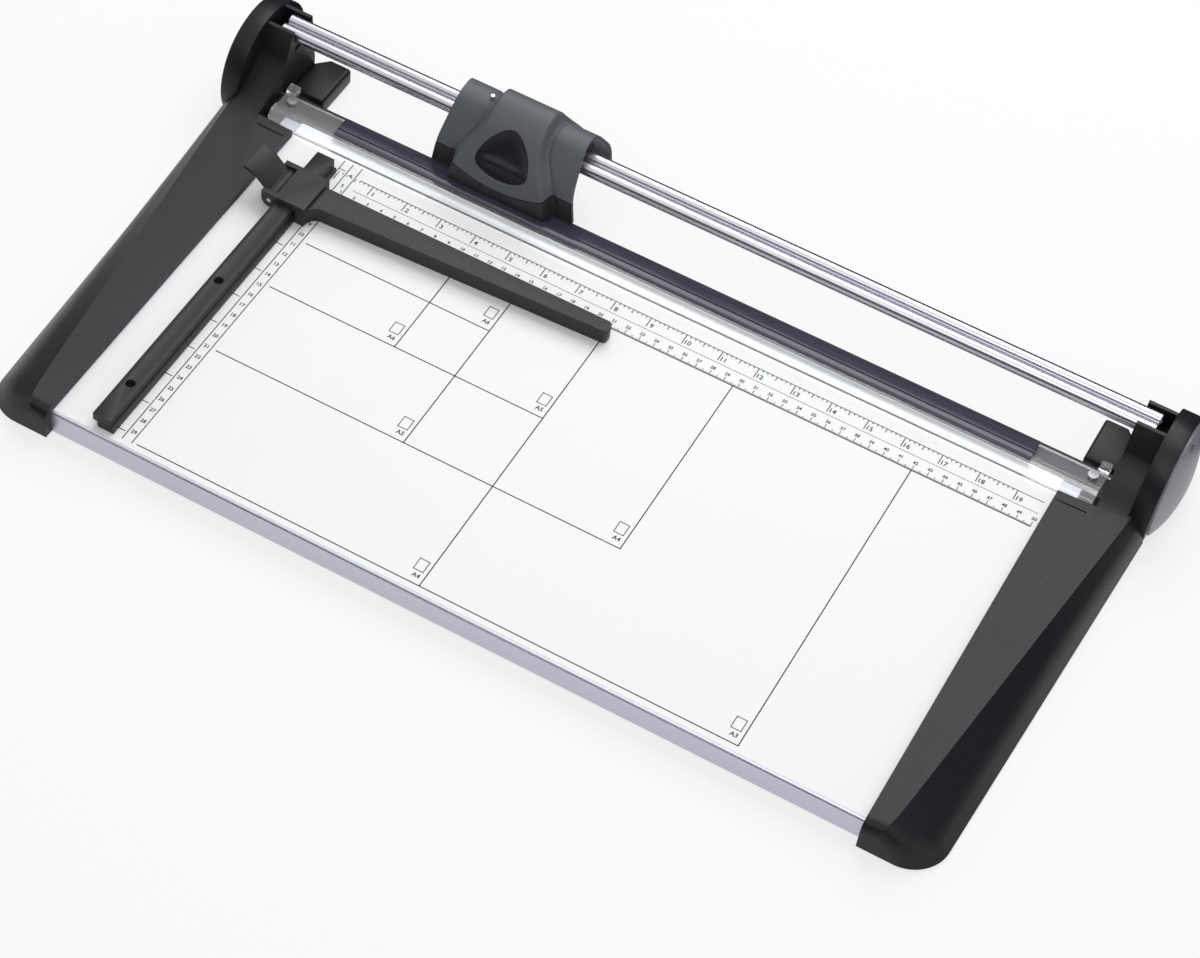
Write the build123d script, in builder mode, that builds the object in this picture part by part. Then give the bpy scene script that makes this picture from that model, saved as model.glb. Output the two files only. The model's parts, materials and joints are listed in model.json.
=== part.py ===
from build123d import *
import os
from math import sqrt

os.makedirs("parts", exist_ok=True)

# A rotary paper trimmer. Millimetres, +X to the right, +Y away from the user, +Z up.
# The origin is on the table under the middle of the whole machine.

# Deck and base plate
deck_width = 546.0          # bare deck between the two end caps
deck_reach = 304.0          # cut line to the deck's front edge
deck_height = 20.0          # table to deck surface
sheet = 1.5                 # base plate metal
film = 0.3                  # printed film on the deck
film_margin = 0.5           # film stays this far inside the deck's edges
lip_height = 17.2           # front and rear lips of the base plate
bend_radius = 2.5           # rounding of the folded front edge
plate_tuck = 12.0           # the plate runs this far under each cap

# Cutting bed
bed_front = 18.0            # bed bar reach in front of the cut line
bed_rear = 7.0              # bed bar reach behind the cut line
bed_wall = 2.0
shelf_drop = 5.0            # shelf behind the knife, below the deck
knife_thickness = 1.5

# End caps
cap_wrap = 6.0              # cap wall in front of the deck's edge
cap_lift = 2.0              # cap underside above the table
cap_step = 4.5              # cap's inner edge above the deck
ridge_rise = 2.0            # ridge above the cap's inner edge
ridge_front = 14.0          # ridge distance from the deck at the front
ridge_rear = 47.0           # the same at the tower
shoulder_front = 36.0       # shoulder distance from the deck at the front
shoulder_rear = 55.0
shoulder_height = 15.5
skirt_front = 47.0          # cap's bottom edge, distance from the deck
skirt_rear = 58.0
corner_round = 24.0         # rounding of the outer front corner
edge_round = 5.0            # rounding of the front top edge
cap_wall = 3.0
cap_end = 30.0              # inner band stops this far in front of the cut line
cap_tail = 18.0             # outer slope runs on behind that, up to the end cover

# Towers, distances from the cut line and heights above the deck
tower_inset = 25.5          # deck's edge to the tower's inner face
tower_height = 43.5
tower_reach = 45.0          # deck's edge to the tower's outer face
tower_wall = 2.5
tower_rear = 40.0
swoop_knee = 4.0            # where the curved front becomes a straight wall
swoop_knee_height = 26.0
pocket_roof = 5.0           # material between the pocket and the trough

# Rails
rail_diameter = 9.0
rail_bore = 6.0
rail_pitch = 9.5
rail_height = 36.0          # rail axis above the deck
rail_set_back = 18.5        # front rail behind the cut line
rail_tuck = 37.5            # rail ends beyond the deck's edge
rail_seat = 0.05            # clearance of a rail in its saddle
trough_gap = 0.3            # rails to the trough's walls
saddle_length = 10.0
saddle_depth = 10.0         # saddle's underside below the rail axis

# End covers
cover_thickness = 13.0
cover_radius = 42.0
cover_centre = 17.0         # behind the cut line
cover_rise = 4.0            # centre above the deck
cover_gap = 0.1             # cap to the cover's rim
panel_margin = 3.5
panel_edge = 1.5            # panel thickness at its rim
panel_bulge = 10.0          # and in the middle
panel_recess = 3.2          # radius of the screw recess in the panel

# Rear feet and rubber feet
foot_block_inset = 2.0      # block's inner face from the deck's edge
foot_block_front = 12.0
foot_block_rear = 48.0
foot_block_height = 12.0
foot_radius = 7.0
foot_front_setback = 30.0   # front feet behind the cap's front
foot_rear_setback = 30.0    # rear feet in front of the inner band's end
foot_reach = 22.0           # feet beyond the deck's edge

# Screws
screw_radius = 1.5
screw_head_radius = 3.0
screw_head_height = 1.8
screw_clearance = 0.1

# Paper clamp
paper_gap = 1.5             # room for paper under the clamp at rest
clamp_front = 30.0          # clamp's front edge from the cut line
clamp_crest = 14.0          # crest ends this far in front of the cut line
clamp_rear = 1.3            # clamp's rear edge in front of the cut line
clamp_ledge = 1.3           # thickness of the thin rear ledge
clamp_thickness = 3.5
clamp_lip = 1.0
clamp_ends = 22.0           # clamp runs this far past the deck's edges
clamp_pin_radius = 2.0
clamp_pin_head = 3.5
clamp_pin_reach = 14.0      # pins beyond the deck's edge
clamp_pin_setback = 7.0     # pins in front of the cut line
clamp_pin_clearance = 0.3
tab_width = 7.0
tab_reach = 5.0             # end tabs behind the cut line
tab_height = 5.0
guard_bare_end = 46.0       # clamp bar left bare at each end of the strip
guard_thickness = 2.2
guard_rib = 0.9
guard_ribs = 4

# Side fence
zero_inset = 42.0           # deck's left edge to the printed zero
fence_width = 12.5
fence_height = 11.0
fence_gap = 3.0             # fence's top edge left of the zero
fence_lip = 1.8             # low lip towards the paper
fence_lip_height = 4.0
fence_undercut = 3.0
fence_undercut_height = 5.0
fence_front_margin = 6.0    # fence's front end behind the deck's front edge
fence_rear = 42.0
fence_screw_rear = 29.0     # rear screw from the fence's rear end
fence_screw_front = 31.0    # front screw from the fence's front end

# Gauge arm with its head and lever
gauge_clearance = 0.3
gauge_stop = 66.5           # arm's rear face, distance from the cut line
gauge_head_front = 94.0
gauge_head_rear = 63.0
gauge_head_roof = 4.5
gauge_jaw = 7.0
arm_length = 214.0          # printed zero to the arm's tip
arm_height = 11.5
arm_lift = 0.5              # arm above the deck
arm_root_width = 18.5
arm_tip_width = 9.0
arm_fillet = 8.0            # hollow corner between head and arm
lever_pin_radius = 1.5
lever_hub_radius = 4.2
lever_ear_radius = 5.5
lever_ear_width = 3.5
lever_axis_height = 9.5     # above the deck
lever_thickness = 2.4
lever_rise = 12.0
lever_run = 12.0
lever_flare = 9.0
lever_flare_rise = 3.5
lever_side_gap = 0.4

# Carriage, sizes from its own middle and from the deck
carriage_place = 140.7      # carriage middle right of the deck's left edge
carriage_gap = 7.0          # carriage's underside above the deck
sleeve_half = 52.0          # half length at the bottom
sleeve_top_half = 45.0      # half length at the top
saddle_half = 36.5          # half length of the raised middle at the bottom
saddle_top_half = 20.0      # and at the top
sleeve_front = 3.5          # sleeve's front in front of the cut line
sleeve_back = 51.0          # sleeve's back behind the cut line
sleeve_knee = 28.0
sleeve_shoulder = 12.0
sleeve_shoulder_height = 49.0
sleeve_top = 55.0
sleeve_back_knee = 30.0
sleeve_back_gap = 17.0      # rear wall's lower edge above the deck
saddle_proud_front = 9.0    # the middle stands proud of the sleeve by this much
saddle_proud_top = 6.0
saddle_proud_back = 3.0
carriage_wall = 2.4
profile_round = 8.0
saddle_edge = 3.0
seam_height = 24.0          # cover meets skirt, above the deck
seam_sag = 9.0
thumb_half = 20.0           # thumb recess
thumb_low = 29.0
thumb_bottom = 22.5
thumb_top = 54.0
thumb_belly = 3.5           # sides bulge by this much
thumb_corner = 3.0
thumb_depth = 1.6
thumb_clearance = 0.15
block_half = 42.0
block_wall = 3.0
bearing_wall = 2.0
bearing_length = 12.0
bearing_clearance = 0.06
post_radius = 2.5
post_gap = 0.2              # posts to the cover's roof
post_place = 12.0
peg_radius = 1.7
peg_rise = 2.2              # pin's end above the sleeve

# Round blade
blade_radius = 14.0
blade_thickness = 0.8
blade_dip = 1.5             # blade's edge below the deck
blade_gap = 0.3             # blade to knife, spacer and retainer
axle_radius = 2.0
axle_clearance = 0.05
spacer_radius = 4.5
spacer_length = 2.6
retainer_radius = 5.0
retainer_thickness = 2.0
holder_half = 17.0
holder_thickness = 4.0
holder_top = 38.0           # above the deck
holder_bottom = 6.5

# Places worked out from the sizes above
half_deck = deck_width / 2
rear_reach = cover_centre + cover_radius
front_reach = deck_reach + cap_wrap
cut_y = (front_reach - rear_reach) / 2
deck_front_y = cut_y - deck_reach
cap_front_y = cut_y - front_reach
cap_end_y = cut_y - cap_end
plate_top = deck_height - film
plate_rear_y = cut_y - bed_front
lip_bottom = plate_top - lip_height
plate_length = deck_width + 2 * plate_tuck
rail_z = deck_height + rail_height
rail_radius = rail_diameter / 2
front_rail_y = cut_y + rail_set_back
rear_rail_y = front_rail_y + rail_pitch
rail_mid_y = (front_rail_y + rear_rail_y) / 2
tower_top = deck_height + tower_height
tower_x = half_deck + tower_inset
trough_front_y = front_rail_y - rail_radius - trough_gap
trough_rear_y = rear_rail_y + rail_radius + trough_gap
trough_floor = rail_z - saddle_depth
saddle_x = half_deck + (tower_inset + rail_tuck) / 2
hole_radius = screw_radius + screw_clearance
zero_x = -half_deck + zero_inset
carriage_x = -half_deck + carriage_place
cover_y = cut_y + cover_centre
cover_z = deck_height + cover_rise


def save(builder, name):
    builder.part.label = name
    export_step(builder.part, f"parts/{name}.step")


def long_edges(part, y, z):
    """Edges that run along X through the point y, z."""
    runs = part.edges().filter_by(Axis.X)
    return runs.filter_by(lambda e: abs(e.center().Y - y) < 0.01 and abs(e.center().Z - z) < 0.01)


def upright_screw(place, head_down):
    """A round-headed screw whose head rests at place, shank up or down from it."""
    x, y, z, length = place
    turn = 1 if head_down else -1
    with Locations((x, y, z - turn * screw_head_height / 2)):
        Cylinder(screw_head_radius, screw_head_height)
    with Locations((x, y, z + turn * length / 2)):
        Cylinder(screw_radius, length)


# Base plate: one sheet folded down along its front and rear edges
fence_mid_x = zero_x - fence_gap - fence_width / 2
fence_rear_y = cut_y - fence_rear
fence_front_y = deck_front_y + fence_front_margin
last_fence_screw = fence_rear_y - fence_screw_rear
first_fence_screw = fence_front_y + fence_screw_front
middle_fence_screw = (first_fence_screw + last_fence_screw) / 2
fence_screws_y = [last_fence_screw, middle_fence_screw, first_fence_screw]
base_screw_x = half_deck + plate_tuck / 2
first_base_screw = cap_front_y + foot_front_setback
last_base_screw = cap_end_y - foot_rear_setback
base_screws_y = [first_base_screw, (first_base_screw + last_base_screw) / 2, last_base_screw]
base_screw_places = [(side * base_screw_x, y) for side in (-1, 1) for y in base_screws_y]

with BuildPart() as base_plate:
    with BuildSketch(Plane.YZ.offset(-plate_length / 2)):
        with BuildLine():
            Polyline(
                (deck_front_y, lip_bottom),
                (deck_front_y, plate_top),
                (plate_rear_y, plate_top),
                (plate_rear_y, lip_bottom),
                (plate_rear_y - sheet, lip_bottom),
                (plate_rear_y - sheet, plate_top - sheet),
                (deck_front_y + sheet, plate_top - sheet),
                (deck_front_y + sheet, lip_bottom),
                close=True,
            )
        make_face()
    extrude(amount=plate_length)
    fillet(long_edges(base_plate.part, deck_front_y, plate_top), radius=bend_radius)
    with Locations(*[(x, y, plate_top) for x, y in base_screw_places]):
        Hole(hole_radius, depth=2 * sheet)
    with Locations(*[(fence_mid_x, y, plate_top) for y in fence_screws_y]):
        Hole(hole_radius, depth=2 * sheet)
save(base_plate, "base_plate")

# Printed film that covers the deck
film_front_y = deck_front_y + bend_radius
with BuildPart() as scale_sheet:
    with BuildSketch(Plane.XY.offset(plate_top)):
        with Locations((0, (film_front_y + plate_rear_y) / 2)):
            Rectangle(deck_width - 2 * film_margin, plate_rear_y - film_front_y)
        with Locations(*[(fence_mid_x, y) for y in fence_screws_y]):
            Circle(hole_radius, mode=Mode.SUBTRACT)
    extrude(amount=film)
save(scale_sheet, "scale_sheet")

# Cutting bed: a hollow bar with a low shelf behind the knife
bed_length = deck_width + 2 * tower_inset
shelf_z = deck_height - shelf_drop
clamp_pin_places = [(side * (half_deck + clamp_pin_reach), cut_y - clamp_pin_setback) for side in (-1, 1)]
with BuildPart() as bed_bar:
    with BuildSketch(Plane.YZ.offset(-bed_length / 2)):
        with BuildLine():
            Polyline(
                (plate_rear_y, lip_bottom),
                (plate_rear_y, deck_height),
                (cut_y - knife_thickness, deck_height),
                (cut_y - knife_thickness, shelf_z),
                (cut_y + bed_rear, shelf_z),
                (cut_y + bed_rear, lip_bottom),
                close=True,
            )
        make_face()
        offset(amount=-bed_wall, kind=Kind.INTERSECTION, mode=Mode.SUBTRACT)
    extrude(amount=bed_length)
    with Locations(*[(x, y, deck_height) for x, y in clamp_pin_places]):
        Hole(clamp_pin_radius, depth=bed_wall)
save(bed_bar, "bed_bar")

# Fixed knife along the edge of the bed
with BuildPart() as bed_knife:
    with Locations((0, cut_y - knife_thickness / 2, (shelf_z + deck_height) / 2)):
        Box(bed_length, knife_thickness, shelf_drop)
save(bed_knife, "bed_knife")


# End caps: a wedge with a slanting ridge, and a tower that carries the rails
def rounding(distance, radius):
    """How far a rounded corner has drawn in at this distance from the end."""
    near = min(distance, radius)
    return radius - sqrt(radius**2 - (radius - near) ** 2)


cap_length = cap_end_y - cap_front_y
cap_inner_top = deck_height + cap_step
cap_ridge_top = cap_inner_top + ridge_rise


def cap_section(distance, wall):
    """Outline of the cap, across X and Z, at a distance from its front; wall draws it in."""
    along = distance / cap_length
    drawn = rounding(distance, corner_round)
    drop = rounding(distance, edge_round)
    ridge = ridge_front + (ridge_rear - ridge_front) * along - drawn / 6
    shoulder = shoulder_front + (shoulder_rear - shoulder_front) * along - drawn * 0.8
    skirt = skirt_front + (skirt_rear - skirt_front) * along - drawn
    if wall == 0:
        return [
            (half_deck, cap_lift),
            (half_deck, cap_inner_top - drop),
            (half_deck + ridge, cap_ridge_top - drop),
            (half_deck + shoulder, shoulder_height - drop / 2),
            (half_deck + skirt, cap_lift),
        ]
    return [
        (half_deck - wall, 0),
        (half_deck - wall, plate_top),
        (half_deck + ridge - wall / 2, plate_top),
        (half_deck + shoulder - 1.5 * wall, shoulder_height - wall),
        (half_deck + skirt - wall, 0),
    ]


rounded_steps = [0, 0.03, 0.12, 0.3, 0.6, 1]
outer_steps = [step * corner_round for step in rounded_steps] + [cap_length + cap_tail]
inner_steps = [cap_wrap, corner_round, cap_length - cap_wall]
feet_y = [cap_front_y + foot_front_setback, cap_end_y - foot_rear_setback]
foot_x = half_deck + foot_reach
pocket_top = trough_floor - pocket_roof

# Hollow under the cap, around the bosses that carry the rubber feet
with BuildPart() as cap_hollow:
    for step in inner_steps:
        with BuildSketch(Plane.XZ.offset(-(cap_front_y + step))):
            with BuildLine():
                Polyline(*cap_section(step, cap_wall), close=True)
            make_face()
    loft(ruled=True)
    with Locations(*[(foot_x, y, 0) for y in feet_y]):
        Cylinder(foot_radius, 2 * plate_top, mode=Mode.SUBTRACT)

with BuildPart() as right_end_cap:
    for step in outer_steps:
        with BuildSketch(Plane.XZ.offset(-(cap_front_y + step))):
            with BuildLine():
                Polyline(*cap_section(step, 0), close=True)
            make_face()
    loft(ruled=True)
    add(cap_hollow.part, mode=Mode.SUBTRACT)
    # Slot for the plate in the cap's rear wall
    with Locations((half_deck + plate_tuck, cap_end_y, plate_top)):
        Box(
            plate_tuck,
            cap_wall,
            plate_top,
            align=(Align.MAX, Align.MAX, Align.MAX),
            mode=Mode.SUBTRACT,
        )
    # The inner band ends in front of the clamp
    with Locations((tower_x, cap_end_y, 0)):
        Box(
            tower_inset,
            cap_tail,
            tower_top,
            align=(Align.MAX, Align.MIN, Align.MIN),
            mode=Mode.SUBTRACT,
        )
    # Tower, seen from the side
    with BuildSketch(Plane.YZ.offset(tower_x)):
        with BuildLine():
            foot = (cap_end_y, cap_ridge_top)
            knee = (cut_y + swoop_knee, deck_height + swoop_knee_height)
            crest = (trough_front_y - tower_wall, tower_top)
            TangentArc(foot, knee, tangent=(1, 0.12))
            Polyline(
                knee,
                crest,
                (trough_front_y, tower_top),
                (trough_front_y, trough_floor),
                (trough_rear_y, trough_floor),
                (trough_rear_y, tower_top - tower_wall),
                (trough_rear_y + tower_wall, tower_top - tower_wall),
                (cut_y + tower_rear, deck_height),
                (cut_y + tower_rear, cap_lift),
                (cap_end_y, cap_lift),
                foot,
            )
        make_face()
    extrude(amount=tower_reach - tower_inset)
    # Round seat for the end cover
    with BuildSketch(Plane.YZ.offset(half_deck + tower_reach)):
        with Locations((cover_y, cover_z)):
            Circle(cover_radius + cover_gap)
    extrude(amount=skirt_rear, mode=Mode.SUBTRACT)
    # Pocket under the trough
    with BuildSketch(Plane.XY):
        with Locations((tower_x + tower_wall + saddle_length, rail_mid_y)):
            Rectangle(2 * saddle_length, rail_pitch + rail_diameter)
    extrude(amount=pocket_top, mode=Mode.SUBTRACT)
    with Locations(*[(saddle_x, y, trough_floor) for y in (front_rail_y, rear_rail_y)]):
        Hole(hole_radius, depth=pocket_roof)
    with Locations(*[(base_screw_x, y, cap_inner_top) for y in base_screws_y]):
        Hole(hole_radius, depth=cap_step + film)
save(right_end_cap, "right_end_cap")

with BuildPart() as left_end_cap:
    mirror(right_end_cap.part, about=Plane.YZ)
save(left_end_cap, "left_end_cap")

# End covers: upright round plates with a flat foot, against the towers' outer faces
cover_x = half_deck + tower_reach
panel_x = cover_x + cover_thickness
cover_screw_z = cover_z + cover_radius - panel_margin - 2 * panel_recess


def flat_footed(radius, low):
    """A round outline about the cover's centre, cut flat at a height."""
    with Locations((cover_y, cover_z)):
        Circle(radius)
    with Locations((cover_y, low)):
        Rectangle(2 * radius, 2 * radius, align=(Align.CENTER, Align.MAX), mode=Mode.SUBTRACT)


with BuildPart() as right_end_cover:
    with BuildSketch(Plane.YZ.offset(cover_x)):
        flat_footed(cover_radius, cap_lift)
        with Locations((cover_y, cover_screw_z)):
            Circle(hole_radius, mode=Mode.SUBTRACT)
    extrude(amount=cover_thickness)
    with BuildSketch(Plane.YZ.offset(panel_x - screw_head_height)):
        with Locations((cover_y, cover_screw_z)):
            Circle(screw_head_radius + screw_clearance)
    extrude(amount=screw_head_height, mode=Mode.SUBTRACT)
save(right_end_cover, "right_end_cover")

with BuildPart() as left_end_cover:
    mirror(right_end_cover.part, about=Plane.YZ)
save(left_end_cover, "left_end_cover")

# Bulged panels on the outside of the covers, with a recess over the screw
panel_radius = cover_radius - panel_margin
bulge_rise = panel_bulge - panel_edge
bulge_radius = (panel_radius**2 + bulge_rise**2) / (2 * bulge_rise)
with BuildPart() as right_cover_panel:
    with BuildSketch(Plane.YZ.offset(panel_x)):
        flat_footed(panel_radius, cap_lift + panel_margin)
        with Locations((cover_y, cover_screw_z)):
            Circle(panel_recess, mode=Mode.SUBTRACT)
    extrude(amount=panel_bulge)
    with Locations((panel_x + panel_bulge - bulge_radius, cover_y, cover_z)):
        Sphere(bulge_radius, mode=Mode.INTERSECT)
save(right_cover_panel, "right_cover_panel")

with BuildPart() as left_cover_panel:
    mirror(right_cover_panel.part, about=Plane.YZ)
save(left_cover_panel, "left_cover_panel")

with BuildPart() as cover_screws:
    with BuildSketch(Plane.YZ.offset(panel_x - screw_head_height)):
        with Locations((cover_y, cover_screw_z)):
            Circle(screw_head_radius)
    extrude(amount=screw_head_height)
    with BuildSketch(Plane.YZ.offset(cover_x)):
        with Locations((cover_y, cover_screw_z)):
            Circle(screw_radius)
    extrude(amount=cover_thickness - screw_head_height)
    mirror(about=Plane.YZ)
save(cover_screws, "cover_screws")

# Rails: two steel tubes side by side, each with a hole for the screw that holds it
rail_half = half_deck + rail_tuck


def rail(y):
    with BuildPart() as tube:
        with BuildSketch(Plane.YZ.offset(-rail_half)):
            with Locations((y, rail_z)):
                Circle(rail_radius)
                Circle(rail_bore / 2, mode=Mode.SUBTRACT)
        extrude(amount=2 * rail_half)
        with BuildSketch(Plane.XY.offset(rail_z - rail_radius)):
            with Locations((-saddle_x, y), (saddle_x, y)):
                Circle(hole_radius)
        extrude(amount=rail_radius, mode=Mode.SUBTRACT)
    return tube


front_rail = rail(front_rail_y)
save(front_rail, "front_rail")
rear_rail = rail(rear_rail_y)
save(rear_rail, "rear_rail")

# Saddles that the rail ends lie in
with BuildPart() as right_rail_saddle:
    with Locations((saddle_x, rail_mid_y, trough_floor + saddle_depth / 2)):
        Box(saddle_length, trough_rear_y - trough_front_y, saddle_depth)
    with BuildSketch(Plane.YZ.offset(saddle_x - saddle_length / 2)):
        with Locations((front_rail_y, rail_z), (rear_rail_y, rail_z)):
            Circle(rail_radius + rail_seat)
        with Locations((rail_mid_y, rail_z + rail_radius / 2)):
            Rectangle(rail_pitch, rail_radius * 1.5)
    extrude(amount=saddle_length, mode=Mode.SUBTRACT)
    with Locations(*[(saddle_x, y, rail_z) for y in (front_rail_y, rear_rail_y)]):
        Hole(hole_radius, depth=saddle_depth)
save(right_rail_saddle, "right_rail_saddle")

with BuildPart() as left_rail_saddle:
    mirror(right_rail_saddle.part, about=Plane.YZ)
save(left_rail_saddle, "left_rail_saddle")

rail_screw_length = rail_z - rail_bore / 2 - pocket_top
with BuildPart() as rail_screws:
    for side in (-1, 1):
        for y in (front_rail_y, rear_rail_y):
            upright_screw((side * saddle_x, y, pocket_top, rail_screw_length), True)
save(rail_screws, "rail_screws")

# Screws that hold the plate up against the caps
base_screw_length = sheet + cap_step
with BuildPart() as base_screws:
    for x, y in base_screw_places:
        upright_screw((x, y, plate_top - sheet, base_screw_length), True)
save(base_screws, "base_screws")

# Rear foot blocks on the towers' inner faces
with BuildPart() as right_rear_foot:
    with BuildSketch(Plane.XY.offset(cap_lift)):
        with Locations((half_deck, cut_y)):
            Polygon(
                (foot_block_inset, foot_block_front),
                (tower_inset, foot_block_front),
                (tower_inset, tower_rear),
                (tower_inset - (foot_block_rear - tower_rear), foot_block_rear),
                (foot_block_inset, foot_block_rear),
                align=None,
            )
    extrude(amount=foot_block_height)
    chamfer(right_rear_foot.faces().sort_by(Axis.Z)[-1].edges().sort_by(Axis.X)[0], length=cap_wall / 2)
save(right_rear_foot, "right_rear_foot")

with BuildPart() as left_rear_foot:
    mirror(right_rear_foot.part, about=Plane.YZ)
save(left_rear_foot, "left_rear_foot")

with BuildPart() as rubber_feet:
    with BuildSketch(Plane.XY):
        with Locations(*[(side * foot_x, y) for side in (-1, 1) for y in feet_y]):
            Circle(foot_radius)
    extrude(amount=cap_lift)
save(rubber_feet, "rubber_feet")

# Paper clamp: a clear bar with a thin rear ledge and a tab at each end
clamp_bottom = deck_height + paper_gap
ledge_top = clamp_bottom + clamp_ledge
clamp_half = half_deck + clamp_ends
with BuildPart() as clamp_bar:
    with BuildSketch(Plane.YZ.offset(-clamp_half)):
        with BuildLine():
            Polyline(
                (cut_y - clamp_front, clamp_bottom),
                (cut_y - clamp_front, clamp_bottom + clamp_lip),
                (cut_y - (clamp_front + clamp_crest) / 2, clamp_bottom + clamp_thickness),
                (cut_y - clamp_crest, clamp_bottom + clamp_thickness),
                (cut_y - clamp_crest, ledge_top),
                (cut_y - clamp_rear, ledge_top),
                (cut_y - clamp_rear, clamp_bottom),
                close=True,
            )
        make_face()
    extrude(amount=2 * clamp_half)
    for side in (-1, 1):
        with BuildSketch(Plane.XY.offset(clamp_bottom)):
            with Locations((side * (clamp_half - tab_width / 2), cut_y + (tab_reach - clamp_rear) / 2)):
                Rectangle(tab_width, tab_reach + clamp_rear)
        extrude(amount=tab_height)
    with Locations(*[(x, y, ledge_top) for x, y in clamp_pin_places]):
        Hole(clamp_pin_radius + clamp_pin_clearance, depth=clamp_ledge)
save(clamp_bar, "clamp_bar")

# Smoky guard strip with fine ribs, lying on the ledge
guard_width = clamp_crest - clamp_rear
rib_width = guard_width / (2 * guard_ribs + 1)
guard_mid_y = cut_y - (clamp_crest + clamp_rear) / 2
guard_length = 2 * (clamp_half - guard_bare_end)
with BuildPart() as guard_strip:
    with BuildSketch(Plane.YZ.offset(-guard_length / 2)):
        with Locations((guard_mid_y, ledge_top + guard_thickness / 2)):
            Rectangle(guard_width, guard_thickness)
        with Locations((guard_mid_y, ledge_top + guard_thickness + guard_rib / 2)):
            with GridLocations(2 * rib_width, 0, guard_ribs, 1):
                Rectangle(rib_width, guard_rib)
    extrude(amount=guard_length)
save(guard_strip, "guard_strip")

# Guide pins of the clamp, and the flat spring rings under it
pin_head_bottom = ledge_top + clamp_pin_clearance
with BuildPart() as clamp_pins:
    with BuildSketch(Plane.XY.offset(deck_height - bed_wall)):
        with Locations(*clamp_pin_places):
            Circle(clamp_pin_radius)
    extrude(amount=pin_head_bottom - deck_height + bed_wall)
    with BuildSketch(Plane.XY.offset(pin_head_bottom)):
        with Locations(*clamp_pin_places):
            Circle(clamp_pin_head)
    extrude(amount=clamp_pin_radius)
save(clamp_pins, "clamp_pins")

with BuildPart() as clamp_springs:
    with BuildSketch(Plane.XY.offset(deck_height)):
        with Locations(*clamp_pin_places):
            Circle(clamp_pin_head + clamp_pin_clearance)
            Circle(clamp_pin_radius + clamp_pin_clearance, mode=Mode.SUBTRACT)
    extrude(amount=paper_gap)
save(clamp_springs, "clamp_springs")

# Side fence, seen from the end, with sunk screws
fence_right = zero_x - fence_gap
fence_left = fence_right - fence_width
with BuildPart() as side_fence:
    with BuildSketch(Plane.XZ.offset(-fence_rear_y)):
        with BuildLine():
            Polyline(
                (fence_left + fence_undercut, deck_height),
                (fence_left + fence_undercut, deck_height + fence_undercut_height),
                (fence_left, deck_height + fence_undercut_height),
                (fence_left, deck_height + fence_height),
                (fence_right, deck_height + fence_height),
                (fence_right, deck_height + fence_lip_height),
                (fence_right + fence_lip, deck_height + fence_lip_height),
                (fence_right + fence_lip, deck_height),
                close=True,
            )
        make_face()
    extrude(amount=fence_rear_y - fence_front_y)
    with Locations(*[(fence_mid_x, y, deck_height + fence_height) for y in fence_screws_y]):
        CounterBoreHole(hole_radius, screw_head_radius + screw_clearance, fence_height / 2)
save(side_fence, "side_fence")

fence_seat = deck_height + fence_height / 2
with BuildPart() as fence_screws:
    for y in fence_screws_y:
        upright_screw((fence_mid_x, y, fence_seat, fence_height / 2 + film + sheet), False)
save(fence_screws, "fence_screws")

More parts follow.
